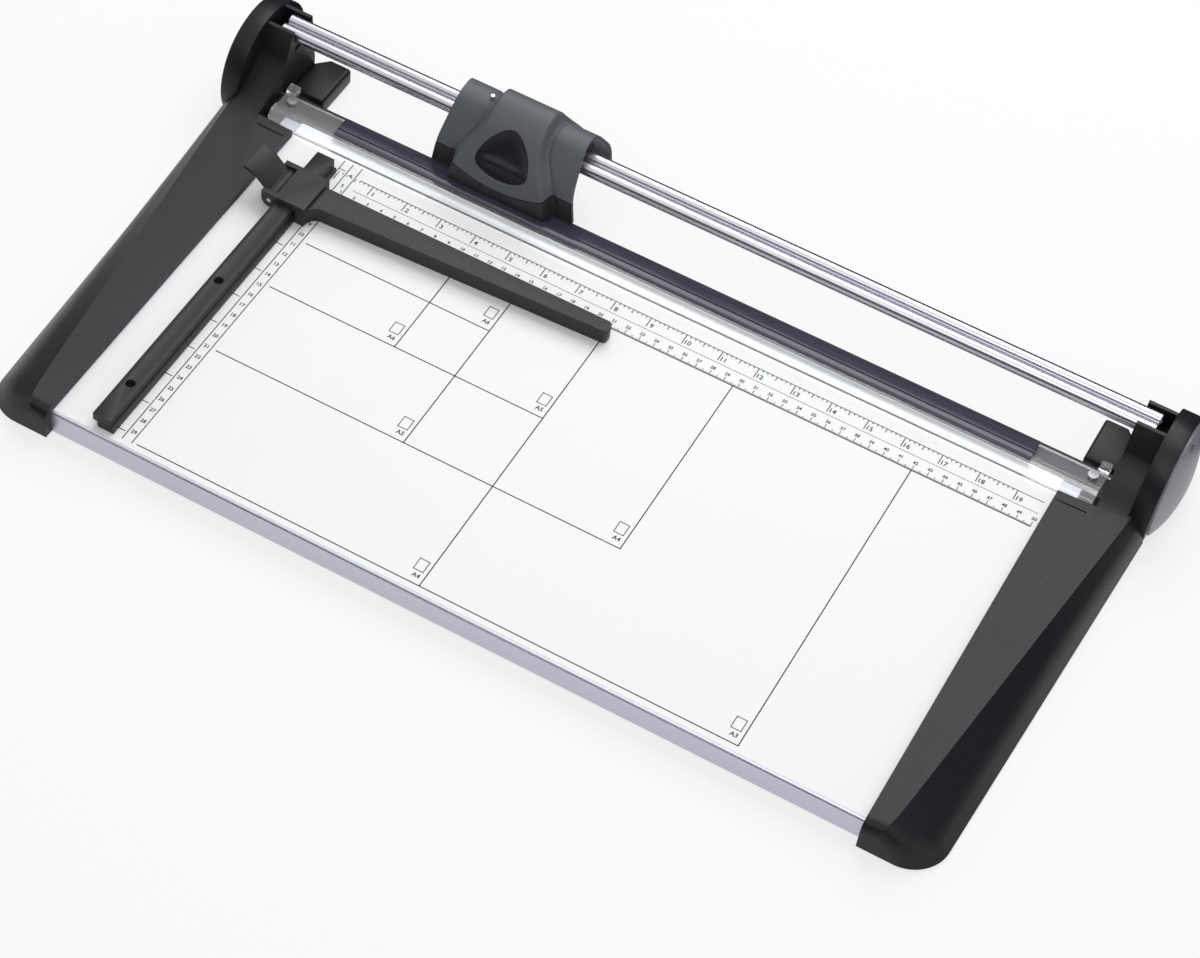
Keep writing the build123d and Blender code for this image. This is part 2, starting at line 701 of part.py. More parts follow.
# Gauge arm: a head that straddles the fence and a tapering arm
head_front_y = cut_y - gauge_head_front
head_rear_y = cut_y - gauge_head_rear
head_mid_y = (head_front_y + head_rear_y) / 2
head_depth = head_rear_y - head_front_y
roof_bottom = deck_height + fence_height + gauge_clearance
roof_top = roof_bottom + gauge_head_roof
jaw_left = fence_right + fence_lip + gauge_clearance
jaw_right = jaw_left + gauge_jaw
arm_bottom = deck_height + arm_lift
arm_rear_y = cut_y - gauge_stop
lever_x = fence_left - gauge_clearance - lever_hub_radius
lever_z = deck_height + lever_axis_height
ear_places = [head_front_y + lever_ear_width / 2, head_rear_y - lever_ear_width / 2]
arm_tip_x = zero_x + arm_length
with BuildPart() as gauge_arm:
    # Arm, seen from above
    with BuildSketch(Plane.XY.offset(arm_bottom)) as arm_plan:
        with BuildLine():
            Polyline(
                (jaw_left, arm_rear_y),
                (arm_tip_x, arm_rear_y),
                (arm_tip_x, arm_rear_y - arm_tip_width),
                (jaw_right, arm_rear_y - arm_root_width),
                (jaw_right, head_front_y),
                (jaw_left, head_front_y),
                close=True,
            )
        make_face()
        tip_corners = arm_plan.vertices().group_by(Axis.X)[-1]
        fillet(tip_corners, radius=arm_tip_width / 3)
        hollow = arm_plan.vertices().sort_by_distance((jaw_right, arm_rear_y - arm_root_width))[0]
        fillet(hollow, radius=arm_fillet)
    extrude(amount=arm_height)
    # Jaw and roof of the head
    with BuildSketch(Plane.XY.offset(arm_bottom)):
        with Locations(((jaw_left + jaw_right) / 2, head_mid_y)):
            Rectangle(gauge_jaw, head_depth)
    extrude(amount=roof_top - arm_bottom)
    with BuildSketch(Plane.XY.offset(roof_bottom)):
        with Locations(((lever_x + jaw_right) / 2, head_mid_y)):
            Rectangle(jaw_right - lever_x, head_depth)
    extrude(amount=gauge_head_roof)
    # Ears that hold the lever's pin
    for y in ear_places:
        with BuildSketch(Plane.XZ.offset(-(y + lever_ear_width / 2))):
            with Locations((lever_x, lever_z)):
                Circle(lever_ear_radius)
            with Locations((lever_x, (lever_z + roof_top) / 2)):
                Rectangle(2 * lever_ear_radius, roof_top - lever_z)
        extrude(amount=lever_ear_width)
    # Room for the fence and the lever's hub
    with BuildSketch(Plane.XZ.offset(-head_rear_y)):
        with Locations((fence_left - gauge_clearance, deck_height)):
            Rectangle(
                fence_width + fence_lip + 2 * gauge_clearance,
                fence_height + gauge_clearance,
                align=(Align.MIN, Align.MIN),
            )
    extrude(amount=head_depth, mode=Mode.SUBTRACT)
    with BuildSketch(Plane.XZ.offset(-(head_rear_y - lever_ear_width))):
        with Locations((fence_left, lever_z)):
            Rectangle(4 * lever_ear_radius, 4 * lever_ear_radius, align=(Align.MAX, Align.CENTER))
    extrude(amount=head_depth - 2 * lever_ear_width, mode=Mode.SUBTRACT)
    with BuildSketch(Plane.XZ.offset(-head_rear_y)):
        with Locations((lever_x, lever_z)):
            Circle(lever_pin_radius)
    extrude(amount=head_depth, mode=Mode.SUBTRACT)
save(gauge_arm, "gauge_arm")

with BuildPart() as lever_pin:
    with BuildSketch(Plane.XZ.offset(-head_rear_y)):
        with Locations((lever_x, lever_z)):
            Circle(lever_pin_radius)
    extrude(amount=head_depth)
save(lever_pin, "lever_pin")

# Lever: a hub on the pin and a plate that rises and flares outwards
lever_width = head_depth - 2 * lever_ear_width - 2 * lever_side_gap
lever_rear_y = head_rear_y - lever_ear_width - lever_side_gap
with BuildPart() as gauge_lever:
    with BuildSketch(Plane.XZ.offset(-lever_rear_y)):
        with BuildLine():
            bend = (lever_x - lever_run, lever_z + lever_rise)
            Line((lever_x, lever_z), bend)
            Line(bend, (bend[0] - lever_flare, bend[1] + lever_flare_rise))
        trace(line_width=lever_thickness)
        with Locations((lever_x, lever_z)):
            Circle(lever_hub_radius)
            Circle(lever_pin_radius + axle_clearance, mode=Mode.SUBTRACT)
    extrude(amount=lever_width)
save(gauge_lever, "gauge_lever")

# Carriage shells: a sleeve along the rails and a raised middle over it
carriage_bottom = deck_height + carriage_gap
back_bottom = deck_height + sleeve_back_gap
carriage_top = deck_height + sleeve_top + saddle_proud_top
saddle_front_y = cut_y - sleeve_front - saddle_proud_front
carriage_back_y = cut_y + sleeve_back + saddle_proud_back


def carriage_form(half, top_half, proud, inset):
    """The shell's side view, drawn in by inset, run along X with ends that draw in towards the top.
    With proud at 1 it is the raised middle, with proud at 0 the sleeve."""
    front = proud * saddle_proud_front
    top = proud * saddle_proud_top
    back = proud * saddle_proud_back
    with BuildPart() as form:
        with BuildSketch(Plane.YZ.offset(carriage_x - half)) as side_view:
            with BuildLine():
                Polyline(
                    (cut_y - sleeve_front - front, carriage_bottom),
                    (cut_y - sleeve_front - front * 0.9, deck_height + sleeve_knee),
                    (cut_y + sleeve_shoulder - front * 0.6, deck_height + sleeve_shoulder_height + top * 0.6),
                    (front_rail_y, deck_height + sleeve_top + top),
                    (rear_rail_y + rail_radius, deck_height + sleeve_top + top),
                    (cut_y + sleeve_back + back, deck_height + sleeve_back_knee),
                    (cut_y + sleeve_back + back, back_bottom),
                    close=True,
                )
            make_face()
            corners = side_view.vertices().filter_by(lambda v: v.Y > back_bottom + 1)
            fillet(corners, radius=profile_round)
            if inset:
                offset(amount=-inset, mode=Mode.REPLACE)
        extrude(amount=2 * half)
        with BuildSketch(Plane.XZ.offset(-carriage_back_y)):
            with Locations((carriage_x, carriage_bottom)):
                Polygon(
                    (-half, 0),
                    (half, 0),
                    (top_half, carriage_top - carriage_bottom),
                    (-top_half, carriage_top - carriage_bottom),
                    align=None,
                )
        extrude(amount=carriage_back_y - saddle_front_y, mode=Mode.INTERSECT)
    return form.part


def open_below(half, proud):
    """The hollow's opening at the bottom, between the front and the back wall."""
    front_y = cut_y - sleeve_front - proud * saddle_proud_front + carriage_wall
    back_y = cut_y + sleeve_back + proud * saddle_proud_back - carriage_wall
    with BuildPart() as opening:
        with BuildSketch(Plane.YZ.offset(carriage_x - half)):
            with BuildLine():
                Polyline(
                    (front_y, deck_height),
                    (back_y, deck_height),
                    (back_y, deck_height + sleeve_back_knee - profile_round),
                    (front_y, deck_height + sleeve_knee - profile_round),
                    close=True,
                )
            make_face()
        extrude(amount=2 * half)
    return opening.part


inner_half = saddle_half - carriage_wall
inner_top_half = saddle_top_half - carriage_wall
with BuildPart() as carriage_shell:
    add(carriage_form(sleeve_half, sleeve_top_half, 0, 0))
    add(carriage_form(saddle_half, saddle_top_half, 1, 0))
    add(carriage_form(sleeve_half, sleeve_half, 0, carriage_wall), mode=Mode.SUBTRACT)
    add(open_below(sleeve_half, 0), mode=Mode.SUBTRACT)
    add(carriage_form(inner_half, inner_top_half, 1, carriage_wall), mode=Mode.SUBTRACT)
    add(open_below(inner_half, 1), mode=Mode.SUBTRACT)

# Everything of the shell above the seam, and all of its back
seam_z = deck_height + seam_height
with BuildPart() as above_seam:
    with BuildSketch(Plane.XZ.offset(-carriage_back_y)):
        with BuildLine():
            left_end = (carriage_x - sleeve_half, seam_z)
            right_end = (carriage_x + sleeve_half, seam_z)
            sag_left = (carriage_x - saddle_half, seam_z)
            sag_right = (carriage_x + saddle_half, seam_z)
            Line(left_end, sag_left)
            ThreePointArc(sag_left, (carriage_x, seam_z - seam_sag), sag_right)
            Line(sag_right, right_end)
            Polyline(
                right_end,
                (carriage_x + sleeve_half, carriage_top),
                (carriage_x - sleeve_half, carriage_top),
                left_end,
            )
        make_face()
    extrude(amount=carriage_back_y - saddle_front_y)
    with Locations((carriage_x, carriage_back_y, carriage_bottom)):
        Box(
            2 * sleeve_half,
            carriage_back_y - rail_mid_y,
            carriage_top - carriage_bottom,
            align=(Align.CENTER, Align.MAX, Align.MIN),
        )


# Thumb recess: a rounded triangle, point up, on the raised middle's front
def thumb_outline(inset):
    half = thumb_half - inset
    low = deck_height + thumb_low
    bottom = deck_height + thumb_bottom + inset
    top = deck_height + thumb_top - inset
    side_x = half / 2 + thumb_belly * 0.7
    side_z = (low + top) / 2 + thumb_belly * 0.7
    with BuildPart() as prism:
        with BuildSketch(Plane.XZ.offset(-rail_mid_y)) as outline:
            with BuildLine():
                left_corner = (carriage_x - half, low)
                right_corner = (carriage_x + half, low)
                apex = (carriage_x, top)
                ThreePointArc(left_corner, (carriage_x, bottom), right_corner)
                ThreePointArc(right_corner, (carriage_x + side_x, side_z), apex)
                ThreePointArc(apex, (carriage_x - side_x, side_z), left_corner)
            make_face()
            fillet(outline.vertices(), radius=thumb_corner)
        extrude(amount=rail_mid_y - saddle_front_y)
    return prism.part


peg_x = carriage_x - saddle_top_half - 3 * peg_radius
with BuildPart() as carriage_cover:
    add(carriage_shell.part)
    add(above_seam.part, mode=Mode.INTERSECT)
    add(thumb_outline(0), mode=Mode.SUBTRACT)
    with Locations((peg_x, rail_mid_y, rail_z + (carriage_top - rail_z) / 2)):
        Cylinder(peg_radius + screw_clearance / 2, carriage_top - rail_z, mode=Mode.SUBTRACT)
save(carriage_cover, "carriage_cover")

with BuildPart() as carriage_skirt:
    add(carriage_shell.part)
    add(above_seam.part, mode=Mode.SUBTRACT)
save(carriage_skirt, "carriage_skirt")

# Dark dish in the thumb recess
with BuildPart() as thumb_insert:
    add(thumb_outline(thumb_clearance))
    add(carriage_form(inner_half, inner_half, 1, thumb_depth), mode=Mode.INTERSECT)
    add(carriage_form(inner_half, inner_half, 1, thumb_depth + carriage_wall), mode=Mode.SUBTRACT)
save(thumb_insert, "thumb_insert")

# Block that rides on the rails, with two plastic bearings
bearing_bore = rail_radius + bearing_clearance
bearing_outer = bearing_bore + bearing_wall
block_outer = bearing_outer + block_wall
holder_front_y = cut_y + 2 * blade_gap + blade_thickness + spacer_length + blade_gap
holder_rear_y = holder_front_y + holder_thickness
holder_top_z = deck_height + holder_top
pad_rear_y = front_rail_y - bearing_outer
holder_screw_z = holder_top_z - 2 * screw_head_radius
holder_screws_x = [carriage_x + side * (holder_half - 2 * screw_head_radius) for side in (-1, 1)]
post_top = carriage_top - carriage_wall - post_gap
post_bottom = rail_z + bearing_outer + block_wall / 3
with BuildPart() as carriage_block:
    with BuildSketch(Plane.YZ.offset(carriage_x - block_half)):
        with Locations((rail_mid_y, rail_z)):
            SlotCenterToCenter(rail_pitch, 2 * block_outer)
            SlotCenterToCenter(rail_pitch, 2 * bearing_outer, mode=Mode.SUBTRACT)
    extrude(amount=2 * block_half)
    # Flat pad for the blade holder
    with BuildSketch(Plane.XZ.offset(-pad_rear_y)):
        with Locations((carriage_x, holder_top_z)):
            Rectangle(2 * holder_half, block_outer, align=(Align.CENTER, Align.MAX))
    extrude(amount=pad_rear_y - holder_rear_y)
    # Posts that carry the cover
    with BuildSketch(Plane.XY.offset(post_bottom)):
        with Locations((carriage_x - post_place, rail_mid_y), (carriage_x + post_place, rail_mid_y)):
            Circle(post_radius)
    extrude(amount=post_top - post_bottom)
    with Locations((peg_x, rail_mid_y, rail_z + block_outer)):
        Hole(peg_radius, depth=block_wall / 2)
    with BuildSketch(Plane.XZ.offset(-holder_rear_y)):
        with Locations(*[(x, holder_screw_z) for x in holder_screws_x]):
            Circle(hole_radius)
    extrude(amount=-(pad_rear_y - holder_rear_y), mode=Mode.SUBTRACT)
save(carriage_block, "carriage_block")


def rail_bearing(side):
    start = carriage_x + side * block_half - (bearing_length if side > 0 else 0)
    with BuildPart() as bearing:
        with BuildSketch(Plane.YZ.offset(start)):
            with Locations((rail_mid_y, rail_z)):
                SlotCenterToCenter(rail_pitch, 2 * bearing_outer)
                SlotCenterToCenter(rail_pitch, 2 * bearing_bore, mode=Mode.SUBTRACT)
        extrude(amount=bearing_length)
    return bearing


left_rail_bearing = rail_bearing(-1)
save(left_rail_bearing, "left_rail_bearing")
right_rail_bearing = rail_bearing(1)
save(right_rail_bearing, "right_rail_bearing")

# Bright pin that locks the cover to the block
peg_bottom = rail_z + block_outer - block_wall / 2
peg_top = deck_height + sleeve_top + peg_rise
with BuildPart() as cover_pin:
    with Locations((peg_x, rail_mid_y, (peg_bottom + peg_top) / 2)):
        Cylinder(peg_radius, peg_top - peg_bottom)
    fillet(cover_pin.edges().sort_by(Axis.Z)[-1], radius=peg_radius / 3)
save(cover_pin, "cover_pin")

# Round blade on its axle, held by a plate in front of the rails
blade_front_y = cut_y + blade_gap
blade_rear_y = blade_front_y + blade_thickness
blade_z = deck_height - blade_dip + blade_radius
spacer_front_y = blade_rear_y + blade_gap
retainer_rear_y = blade_front_y - blade_gap
retainer_front_y = retainer_rear_y - retainer_thickness


def disc(front_y, rear_y, radius, bore):
    """A round piece on the blade's axis, from front to rear."""
    with BuildPart() as piece:
        with BuildSketch(Plane.XZ.offset(-rear_y)):
            with Locations((carriage_x, blade_z)):
                Circle(radius)
                if bore:
                    Circle(bore, mode=Mode.SUBTRACT)
        extrude(amount=rear_y - front_y)
    return piece


cutting_wheel = disc(blade_front_y, blade_rear_y, blade_radius, axle_radius + axle_clearance)
save(cutting_wheel, "cutting_wheel")
blade_axle = disc(retainer_front_y, holder_rear_y, axle_radius, 0)
save(blade_axle, "blade_axle")
blade_spacer = disc(spacer_front_y, holder_front_y, spacer_radius, axle_radius + axle_clearance)
save(blade_spacer, "blade_spacer")
blade_retainer = disc(retainer_front_y, retainer_rear_y, retainer_radius, axle_radius + axle_clearance)
save(blade_retainer, "blade_retainer")

holder_bottom_z = deck_height + holder_bottom
with BuildPart() as blade_holder:
    with BuildSketch(Plane.XZ.offset(-holder_rear_y)):
        with Locations((carriage_x, (holder_bottom_z + holder_top_z) / 2)):
            RectangleRounded(2 * holder_half, holder_top_z - holder_bottom_z, screw_head_radius)
        with Locations((carriage_x, blade_z)):
            Circle(axle_radius + axle_clearance, mode=Mode.SUBTRACT)
        with Locations(*[(x, holder_screw_z) for x in holder_screws_x]):
            Circle(hole_radius, mode=Mode.SUBTRACT)
    extrude(amount=holder_thickness)
save(blade_holder, "blade_holder")

with BuildPart() as holder_screws:
    with BuildSketch(Plane.XZ.offset(-holder_front_y)):
        with Locations(*[(x, holder_screw_z) for x in holder_screws_x]):
            Circle(screw_head_radius)
    extrude(amount=screw_head_height)
    with BuildSketch(Plane.XZ.offset(-pad_rear_y)):
        with Locations(*[(x, holder_screw_z) for x in holder_screws_x]):
            Circle(screw_radius)
    extrude(amount=pad_rear_y - holder_front_y)
save(holder_screws, "holder_screws")
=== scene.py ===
# %% [markdown]
# A rotary paper trimmer: a white printed deck between two charcoal end caps, two chromed rails,
# and a grey carriage with a round blade that slides along them. The construction is already
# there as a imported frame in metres. This file gives every surface its finish, and models the
# shells, the print and the small screws as meshes that ride on the frame's bodies.

# %% Load the frame
import json
import math
import bmesh
import bpy
from mathutils import Matrix, Vector


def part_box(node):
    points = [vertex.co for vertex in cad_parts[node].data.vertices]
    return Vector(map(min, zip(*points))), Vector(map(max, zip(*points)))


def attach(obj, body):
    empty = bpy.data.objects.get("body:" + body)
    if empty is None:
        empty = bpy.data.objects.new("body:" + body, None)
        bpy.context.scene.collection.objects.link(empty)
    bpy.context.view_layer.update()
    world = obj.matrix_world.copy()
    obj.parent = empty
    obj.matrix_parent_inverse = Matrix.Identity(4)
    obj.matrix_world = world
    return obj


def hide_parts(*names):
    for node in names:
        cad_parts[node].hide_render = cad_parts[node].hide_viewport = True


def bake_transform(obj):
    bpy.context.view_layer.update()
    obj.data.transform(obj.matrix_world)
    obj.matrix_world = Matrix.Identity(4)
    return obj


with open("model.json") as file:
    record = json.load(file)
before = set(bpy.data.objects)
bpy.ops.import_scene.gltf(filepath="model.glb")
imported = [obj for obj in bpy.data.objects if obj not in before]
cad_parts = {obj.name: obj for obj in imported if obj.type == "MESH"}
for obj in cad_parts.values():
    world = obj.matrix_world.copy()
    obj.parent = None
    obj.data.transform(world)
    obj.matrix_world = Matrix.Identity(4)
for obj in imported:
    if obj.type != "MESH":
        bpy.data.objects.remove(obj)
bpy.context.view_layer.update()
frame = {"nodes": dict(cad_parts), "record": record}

MM = 0.001

# %% [markdown]
# The main places are read from the frame. Smaller sizes repeat those of the construction, or
# follow the photograph where this file adds a form. Lengths are in millimetres, which suit a
# desk machine, and are turned to metres when a mesh is made.


# %% Places read from the frame
def span(node):
    low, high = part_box(node)
    return low / MM, high / MM


film_low, film_high = span("scale_sheet")
cap_low = span("right_end_cap")[0]
deck_top = film_high.z
half_deck = cap_low.x
cut_y = span("bed_knife")[1].y
wheel_low, wheel_high = span("cutting_wheel")
carriage_x = (wheel_low.x + wheel_high.x) / 2
zero_inset = 42.0
printed_zero = -half_deck + zero_inset
print("deck top", round(deck_top, 2), "half deck", round(half_deck, 2), "cut line", round(cut_y, 2))

# %% [markdown]
# Colours are written as the hex values a painter would read off a screen. Shaders work in
# linear light, so one function makes that change for every finish.


# %% Hex colour to linear light
def linear(code):
    shares = [int(code[i:i + 2], 16) / 255 for i in (1, 3, 5)]
    return [c / 12.92 if c <= 0.04045 else ((c + 0.055) / 1.055) ** 2.4 for c in shares] + [1.0]


print("white film in linear light", [round(c, 3) for c in linear("#f7f8f9")])

# %% [markdown]
# All node trees here, for finishes and for repeated geometry, are wired by one small function.
# It adds a node, gives it its settings, and either links a socket or sets its value. The others
# below build on it: patterns of noise, and what a pattern does to colour, roughness and relief.


# %% Add a node
def put(tree, kind, settings=None, sockets=None):
    node = tree.nodes.new(kind)
    for name, value in (settings or {}).items():
        setattr(node, name, value)
    for key, value in (sockets or {}).items():
        if isinstance(value, bpy.types.NodeSocket):
            tree.links.new(value, node.inputs[key])
        else:
            node.inputs[key].default_value = value
    return node


def bare_tree(owner):
    owner.use_nodes = True
    owner.node_tree.nodes.clear()
    return owner.node_tree


def linked(name, data):
    """A new object in the scene."""
    holder = bpy.data.objects.new(name, data)
    bpy.context.scene.collection.objects.link(holder)
    return holder


def start_finish(name, sockets):
    """A material with one Principled shader; returns it with its tree, shader and coordinates."""
    material = bpy.data.materials.new(name)
    tree = bare_tree(material)
    shader = put(tree, "ShaderNodeBsdfPrincipled", sockets=sockets)
    put(tree, "ShaderNodeOutputMaterial", sockets={"Surface": shader.outputs["BSDF"]})
    return material, tree, shader, put(tree, "ShaderNodeTexCoord").outputs["Object"]


def patches(tree, place, size, detail):
    """Noise with patches of about that size."""
    return put(tree, "ShaderNodeTexNoise", None,
               {"Vector": place, "Scale": 1 / (size * MM), "Detail": detail}).outputs["Fac"]


def streaks(tree, place, run, line, detail):
    """Noise stretched along X into lines of about that run and width."""
    stretch = put(tree, "ShaderNodeMapping", None,
                  {"Vector": place, "Scale": (1 / (run * MM), 1 / (line * MM), 1 / (line * MM))})
    return put(tree, "ShaderNodeTexNoise", None,
               {"Vector": stretch.outputs[0], "Scale": 1.0, "Detail": detail}).outputs["Fac"]


def tinted(tree, shader, pattern, dark, light):
    mixed = put(tree, "ShaderNodeMix", {"data_type": "RGBA"},
                {0: pattern, 6: linear(dark), 7: linear(light)})
    tree.links.new(mixed.outputs[2], shader.inputs["Base Color"])


def roughened(tree, shader, pattern, low, high):
    rough = put(tree, "ShaderNodeMapRange", None,
                {"Value": pattern, "From Min": 0.3, "From Max": 0.7, "To Min": low, "To Max": high})
    tree.links.new(rough.outputs[0], shader.inputs["Roughness"])


def bumped(tree, shader, pattern, strength, height):
    relief = put(tree, "ShaderNodeBump", None,
                 {"Height": pattern, "Strength": strength, "Distance": height * MM})
    tree.links.new(relief.outputs[0], shader.inputs["Normal"])


print("node helpers ready")

# %% [markdown]
# The shells are injection-moulded ABS. The mould leaves a fine even grain, so the plastic looks
# dull with soft highlights. A real grain of about 0.3 mm is finer than a pixel here, so it is
# drawn at 1.2 mm. A slow drift of colour over some centimetres keeps large faces alive.


# %% Moulded plastics
def moulded(name, dark, light, roughness, sheen_level, grain=1.2, drift=55.0, grain_share=0.35):
    material, tree, shader, place = start_finish(name, {"Specular IOR Level": sheen_level})
    slow = patches(tree, place, drift, 3.0)
    fine = patches(tree, place, grain, 2.0)
    tone = put(tree, "ShaderNodeMath", {"operation": "MULTIPLY_ADD"}, {0: fine, 1: grain_share, 2: slow})
    reach = put(tree, "ShaderNodeMapRange", None,
                {"Value": tone.outputs[0], "From Min": 0.4, "From Max": 0.95})
    tinted(tree, shader, reach.outputs[0], dark, light)
    roughened(tree, shader, fine, roughness - 0.05, roughness + 0.07)
    bumped(tree, shader, fine, 0.18, 0.06)
    return material


charcoal_abs = moulded("charcoal moulded ABS", "#19191d", "#212126", 0.36, 0.22)
grey_abs = moulded("grey moulded ABS", "#565960", "#606369", 0.45, 0.3)
black_abs = moulded("black moulded ABS", "#29282b", "#333235", 0.46, 0.28)
dish_abs = moulded("soft-touch thumb dish", "#18181f", "#212129", 0.33, 0.35)
silver_abs = moulded("silver painted ABS", "#7d7d88", "#898994", 0.36, 0.4)
nylon = moulded("carbon-filled nylon", "#232325", "#2d2d30", 0.5, 0.3)
rubber = moulded("black rubber", "#161617", "#202021", 0.85, 0.2, grain=0.8)
print("moulded plastics", 7)

# %% [markdown]
# Drawn and rolled metal carries fine lines along the way it was worked. A noise pattern that is
# stretched along X gives those lines. They are about 0.2 mm apart on the real sheet and are
# drawn at 0.9 mm so that they show. Anodising leaves the deck's lip silver with a lavender cast,
# and the chrome of the rails has a satin shine without visible lines.


# %% Worked metals
def worked_metal(name, dark, light, roughness, line=0.9, run=70.0, depth=0.12, metallic=1.0):
    material, tree, shader, place = start_finish(name, {"Metallic": metallic})
    lines = streaks(tree, place, run, line, 3.0)
    tinted(tree, shader, lines, dark, light)
    roughened(tree, shader, lines, roughness * 0.85, roughness * 1.15)
    if depth:
        bumped(tree, shader, lines, depth, 0.03)
    return material


anodised_sheet = worked_metal("anodised aluminium sheet", "#c2c2cf", "#cecedb", 0.42)
chrome_tube = worked_metal("chromed steel tube", "#b9b9c2", "#c6c6ce", 0.3,
                           line=4.0, run=300.0, depth=0)
ground_steel = worked_metal("ground blade steel", "#a9abb0", "#c4c6ca", 0.26, run=12.0)
zinc_steel = worked_metal("zinc-plated steel", "#b4b5b8", "#cfd0d2", 0.3, line=1.4, run=1.4)
blackened_steel = worked_metal("blackened screw steel", "#2a2a2d", "#38383c", 0.4,
                               line=1.0, run=1.0, metallic=0.6)
black_bed = worked_metal("black anodised bar", "#141418", "#1d1d22", 0.45, depth=0.03, metallic=0.35)
print("worked metals", 6)

# %% [markdown]
# The deck is covered with a white vinyl film. It is smooth with a satin gloss, and its faint
# unevenness, a few centimetres across, shows only in the gloss. The ink is screen printed: dense
# black, slightly uneven where the squeegee passed.


# %% Printed film and ink
vinyl_film, tree, shader, place = start_finish("white vinyl film", {"Specular IOR Level": 0.2})
cloud = patches(tree, place, 40.0, 4.0)
tinted(tree, shader, cloud, "#f1f3f4", "#f7f8f9")
roughened(tree, shader, cloud, 0.36, 0.48)

screen_ink, tree, shader, place = start_finish("screen-printed ink", {"Roughness": 0.6})
patchy = patches(tree, place, 6.0, 3.0)
tinted(tree, shader, patchy, "#0d0d0f", "#27272b")
print("film and ink ready")

# %% [markdown]
# The clamp bar is clear extruded acrylic and the strip on it is the same plastic tinted smoky
# grey. Extrusion leaves faint flow lines along the bar, which show as changes in gloss. The deck
# shows through the bar, while the strip lets hardly any light pass.


# %% Clear and smoky plastic
def clear_plastic(name, dark, light, passing, roughness):
    material, tree, shader, place = start_finish(name, {"Transmission Weight": passing, "IOR": 1.49})
    lines = streaks(tree, place, 60.0, 1.5, 2.0)
    tinted(tree, shader, lines, dark, light)
    roughened(tree, shader, lines, roughness * 0.5, roughness * 1.5)
    bumped(tree, shader, lines, 0.15, 0.05)
    return material


clear_acrylic = clear_plastic("clear acrylic", "#e9ebee", "#ffffff", 0.9, 0.06)
smoky_acrylic = clear_plastic("smoky acrylic", "#3a3a4a", "#48485a", 0.04, 0.16)
print("clear plastics", 2)

# %% [markdown]
# Each node of the frame takes the finish of its material slot. Pieces that keep their shape from the frame
# are then done, and those that get a better mesh below are given their finish where they are made.

# %% Paint the frame's nodes
paint_plan = [
    ("aluminium_sheet", anodised_sheet, "base_plate"),
    ("printed_film", vinyl_film, "scale_sheet"),
    ("black_bed", black_bed, "bed_bar"),
    ("blade_steel", ground_steel, "bed_knife cutting_wheel"),
    ("charcoal_plastic", charcoal_abs, "left_end_cap right_end_cap left_end_cover right_end_cover "
     "left_rear_foot right_rear_foot"),
    ("silver_plastic", silver_abs, "left_cover_panel right_cover_panel"),
    ("chrome_tube", chrome_tube, "front_rail rear_rail"),
    ("black_plastic", black_abs, "left_rail_saddle right_rail_saddle side_fence carriage_skirt "
     "thumb_insert carriage_block blade_holder gauge_arm gauge_lever"),
    ("grey_plastic", grey_abs, "carriage_cover"),
    ("clear_plastic", clear_acrylic, "clamp_bar"),
    ("smoky_plastic", smoky_acrylic, "guard_strip"),
    ("zinc_steel", zinc_steel, "cover_screws rail_screws base_screws clamp_pins clamp_springs "
     "fence_screws cover_pin blade_axle blade_retainer holder_screws lever_pin"),
    ("nylon", nylon, "left_rail_bearing right_rail_bearing blade_spacer"),
    ("rubber", rubber, "rubber_feet"),
]
finish_of_node, slot_of_node = {}, {}
for slot, finish, nodes in paint_plan:
    for node in nodes.split():
        finish_of_node[node], slot_of_node[node] = finish, slot
        materials = frame["nodes"][node].data.materials
        materials.clear()
        materials.append(finish)
print("painted", len(slot_of_node), "of", len(frame["nodes"]), "nodes")

# %% [markdown]
# A plain pale floor and soft light from above, as on a product table. The lamps are large, so
# shadows are soft, and their level is plain: a colour renders about as it is written. The white
# of the background comes from what the camera sees of the floor and the world, not from light.


# %% Floor, world and lamps
def seen_directly(tree):
    """1 for rays from the camera, from gloss and through clear pieces, otherwise 0."""
    path = put(tree, "ShaderNodeLightPath")
    gloss = put(tree, "ShaderNodeMath", {"operation": "MAXIMUM"},
                {0: path.outputs["Is Camera Ray"], 1: path.outputs["Is Glossy Ray"]})
    return put(tree, "ShaderNodeMath", {"operation": "MAXIMUM"},
               {0: gloss.outputs[0], 1: path.outputs["Is Transmission Ray"]}).outputs[0]


def area_lamp(name, place, width, power):
    """A square lamp that faces the origin."""
    lamp = bpy.data.lights.new(name, "AREA")
    lamp.size = width
    lamp.energy = power
    holder = linked(name, lamp)
    holder.location = place
    holder.rotation_euler = (-Vector(place)).to_track_quat("-Z", "Y").to_euler()


def quads(name, corners):
    """A mesh with one face for every four corners."""
    mesh = bpy.data.meshes.new(name)
    mesh.from_pydata(corners, [], [tuple(range(i, i + 4)) for i in range(0, len(corners), 4)])
    return mesh


floor_half = 4.0
floor_lift = 0.72
floor = linked("floor", quads("floor", [(x * floor_half, y * floor_half, 0) for x, y in
                                        ((-1, -1), (1, -1), (1, 1), (-1, 1))]))
pale_floor = bpy.data.materials.new("pale floor")
tree = bare_tree(pale_floor)
matt = put(tree, "ShaderNodeBsdfDiffuse", None, {"Color": linear("#f4f4f4")})
white = put(tree, "ShaderNodeEmission", None, {"Color": linear("#ffffff"), "Strength": 1.0})
lift = put(tree, "ShaderNodeMath", {"operation": "MULTIPLY"}, {0: seen_directly(tree), 1: floor_lift})
mixed = put(tree, "ShaderNodeMixShader", None,
            {0: lift.outputs[0], 1: matt.outputs[0], 2: white.outputs[0]})
put(tree, "ShaderNodeOutputMaterial", None, {"Surface": mixed.outputs[0]})
floor.data.materials.append(pale_floor)

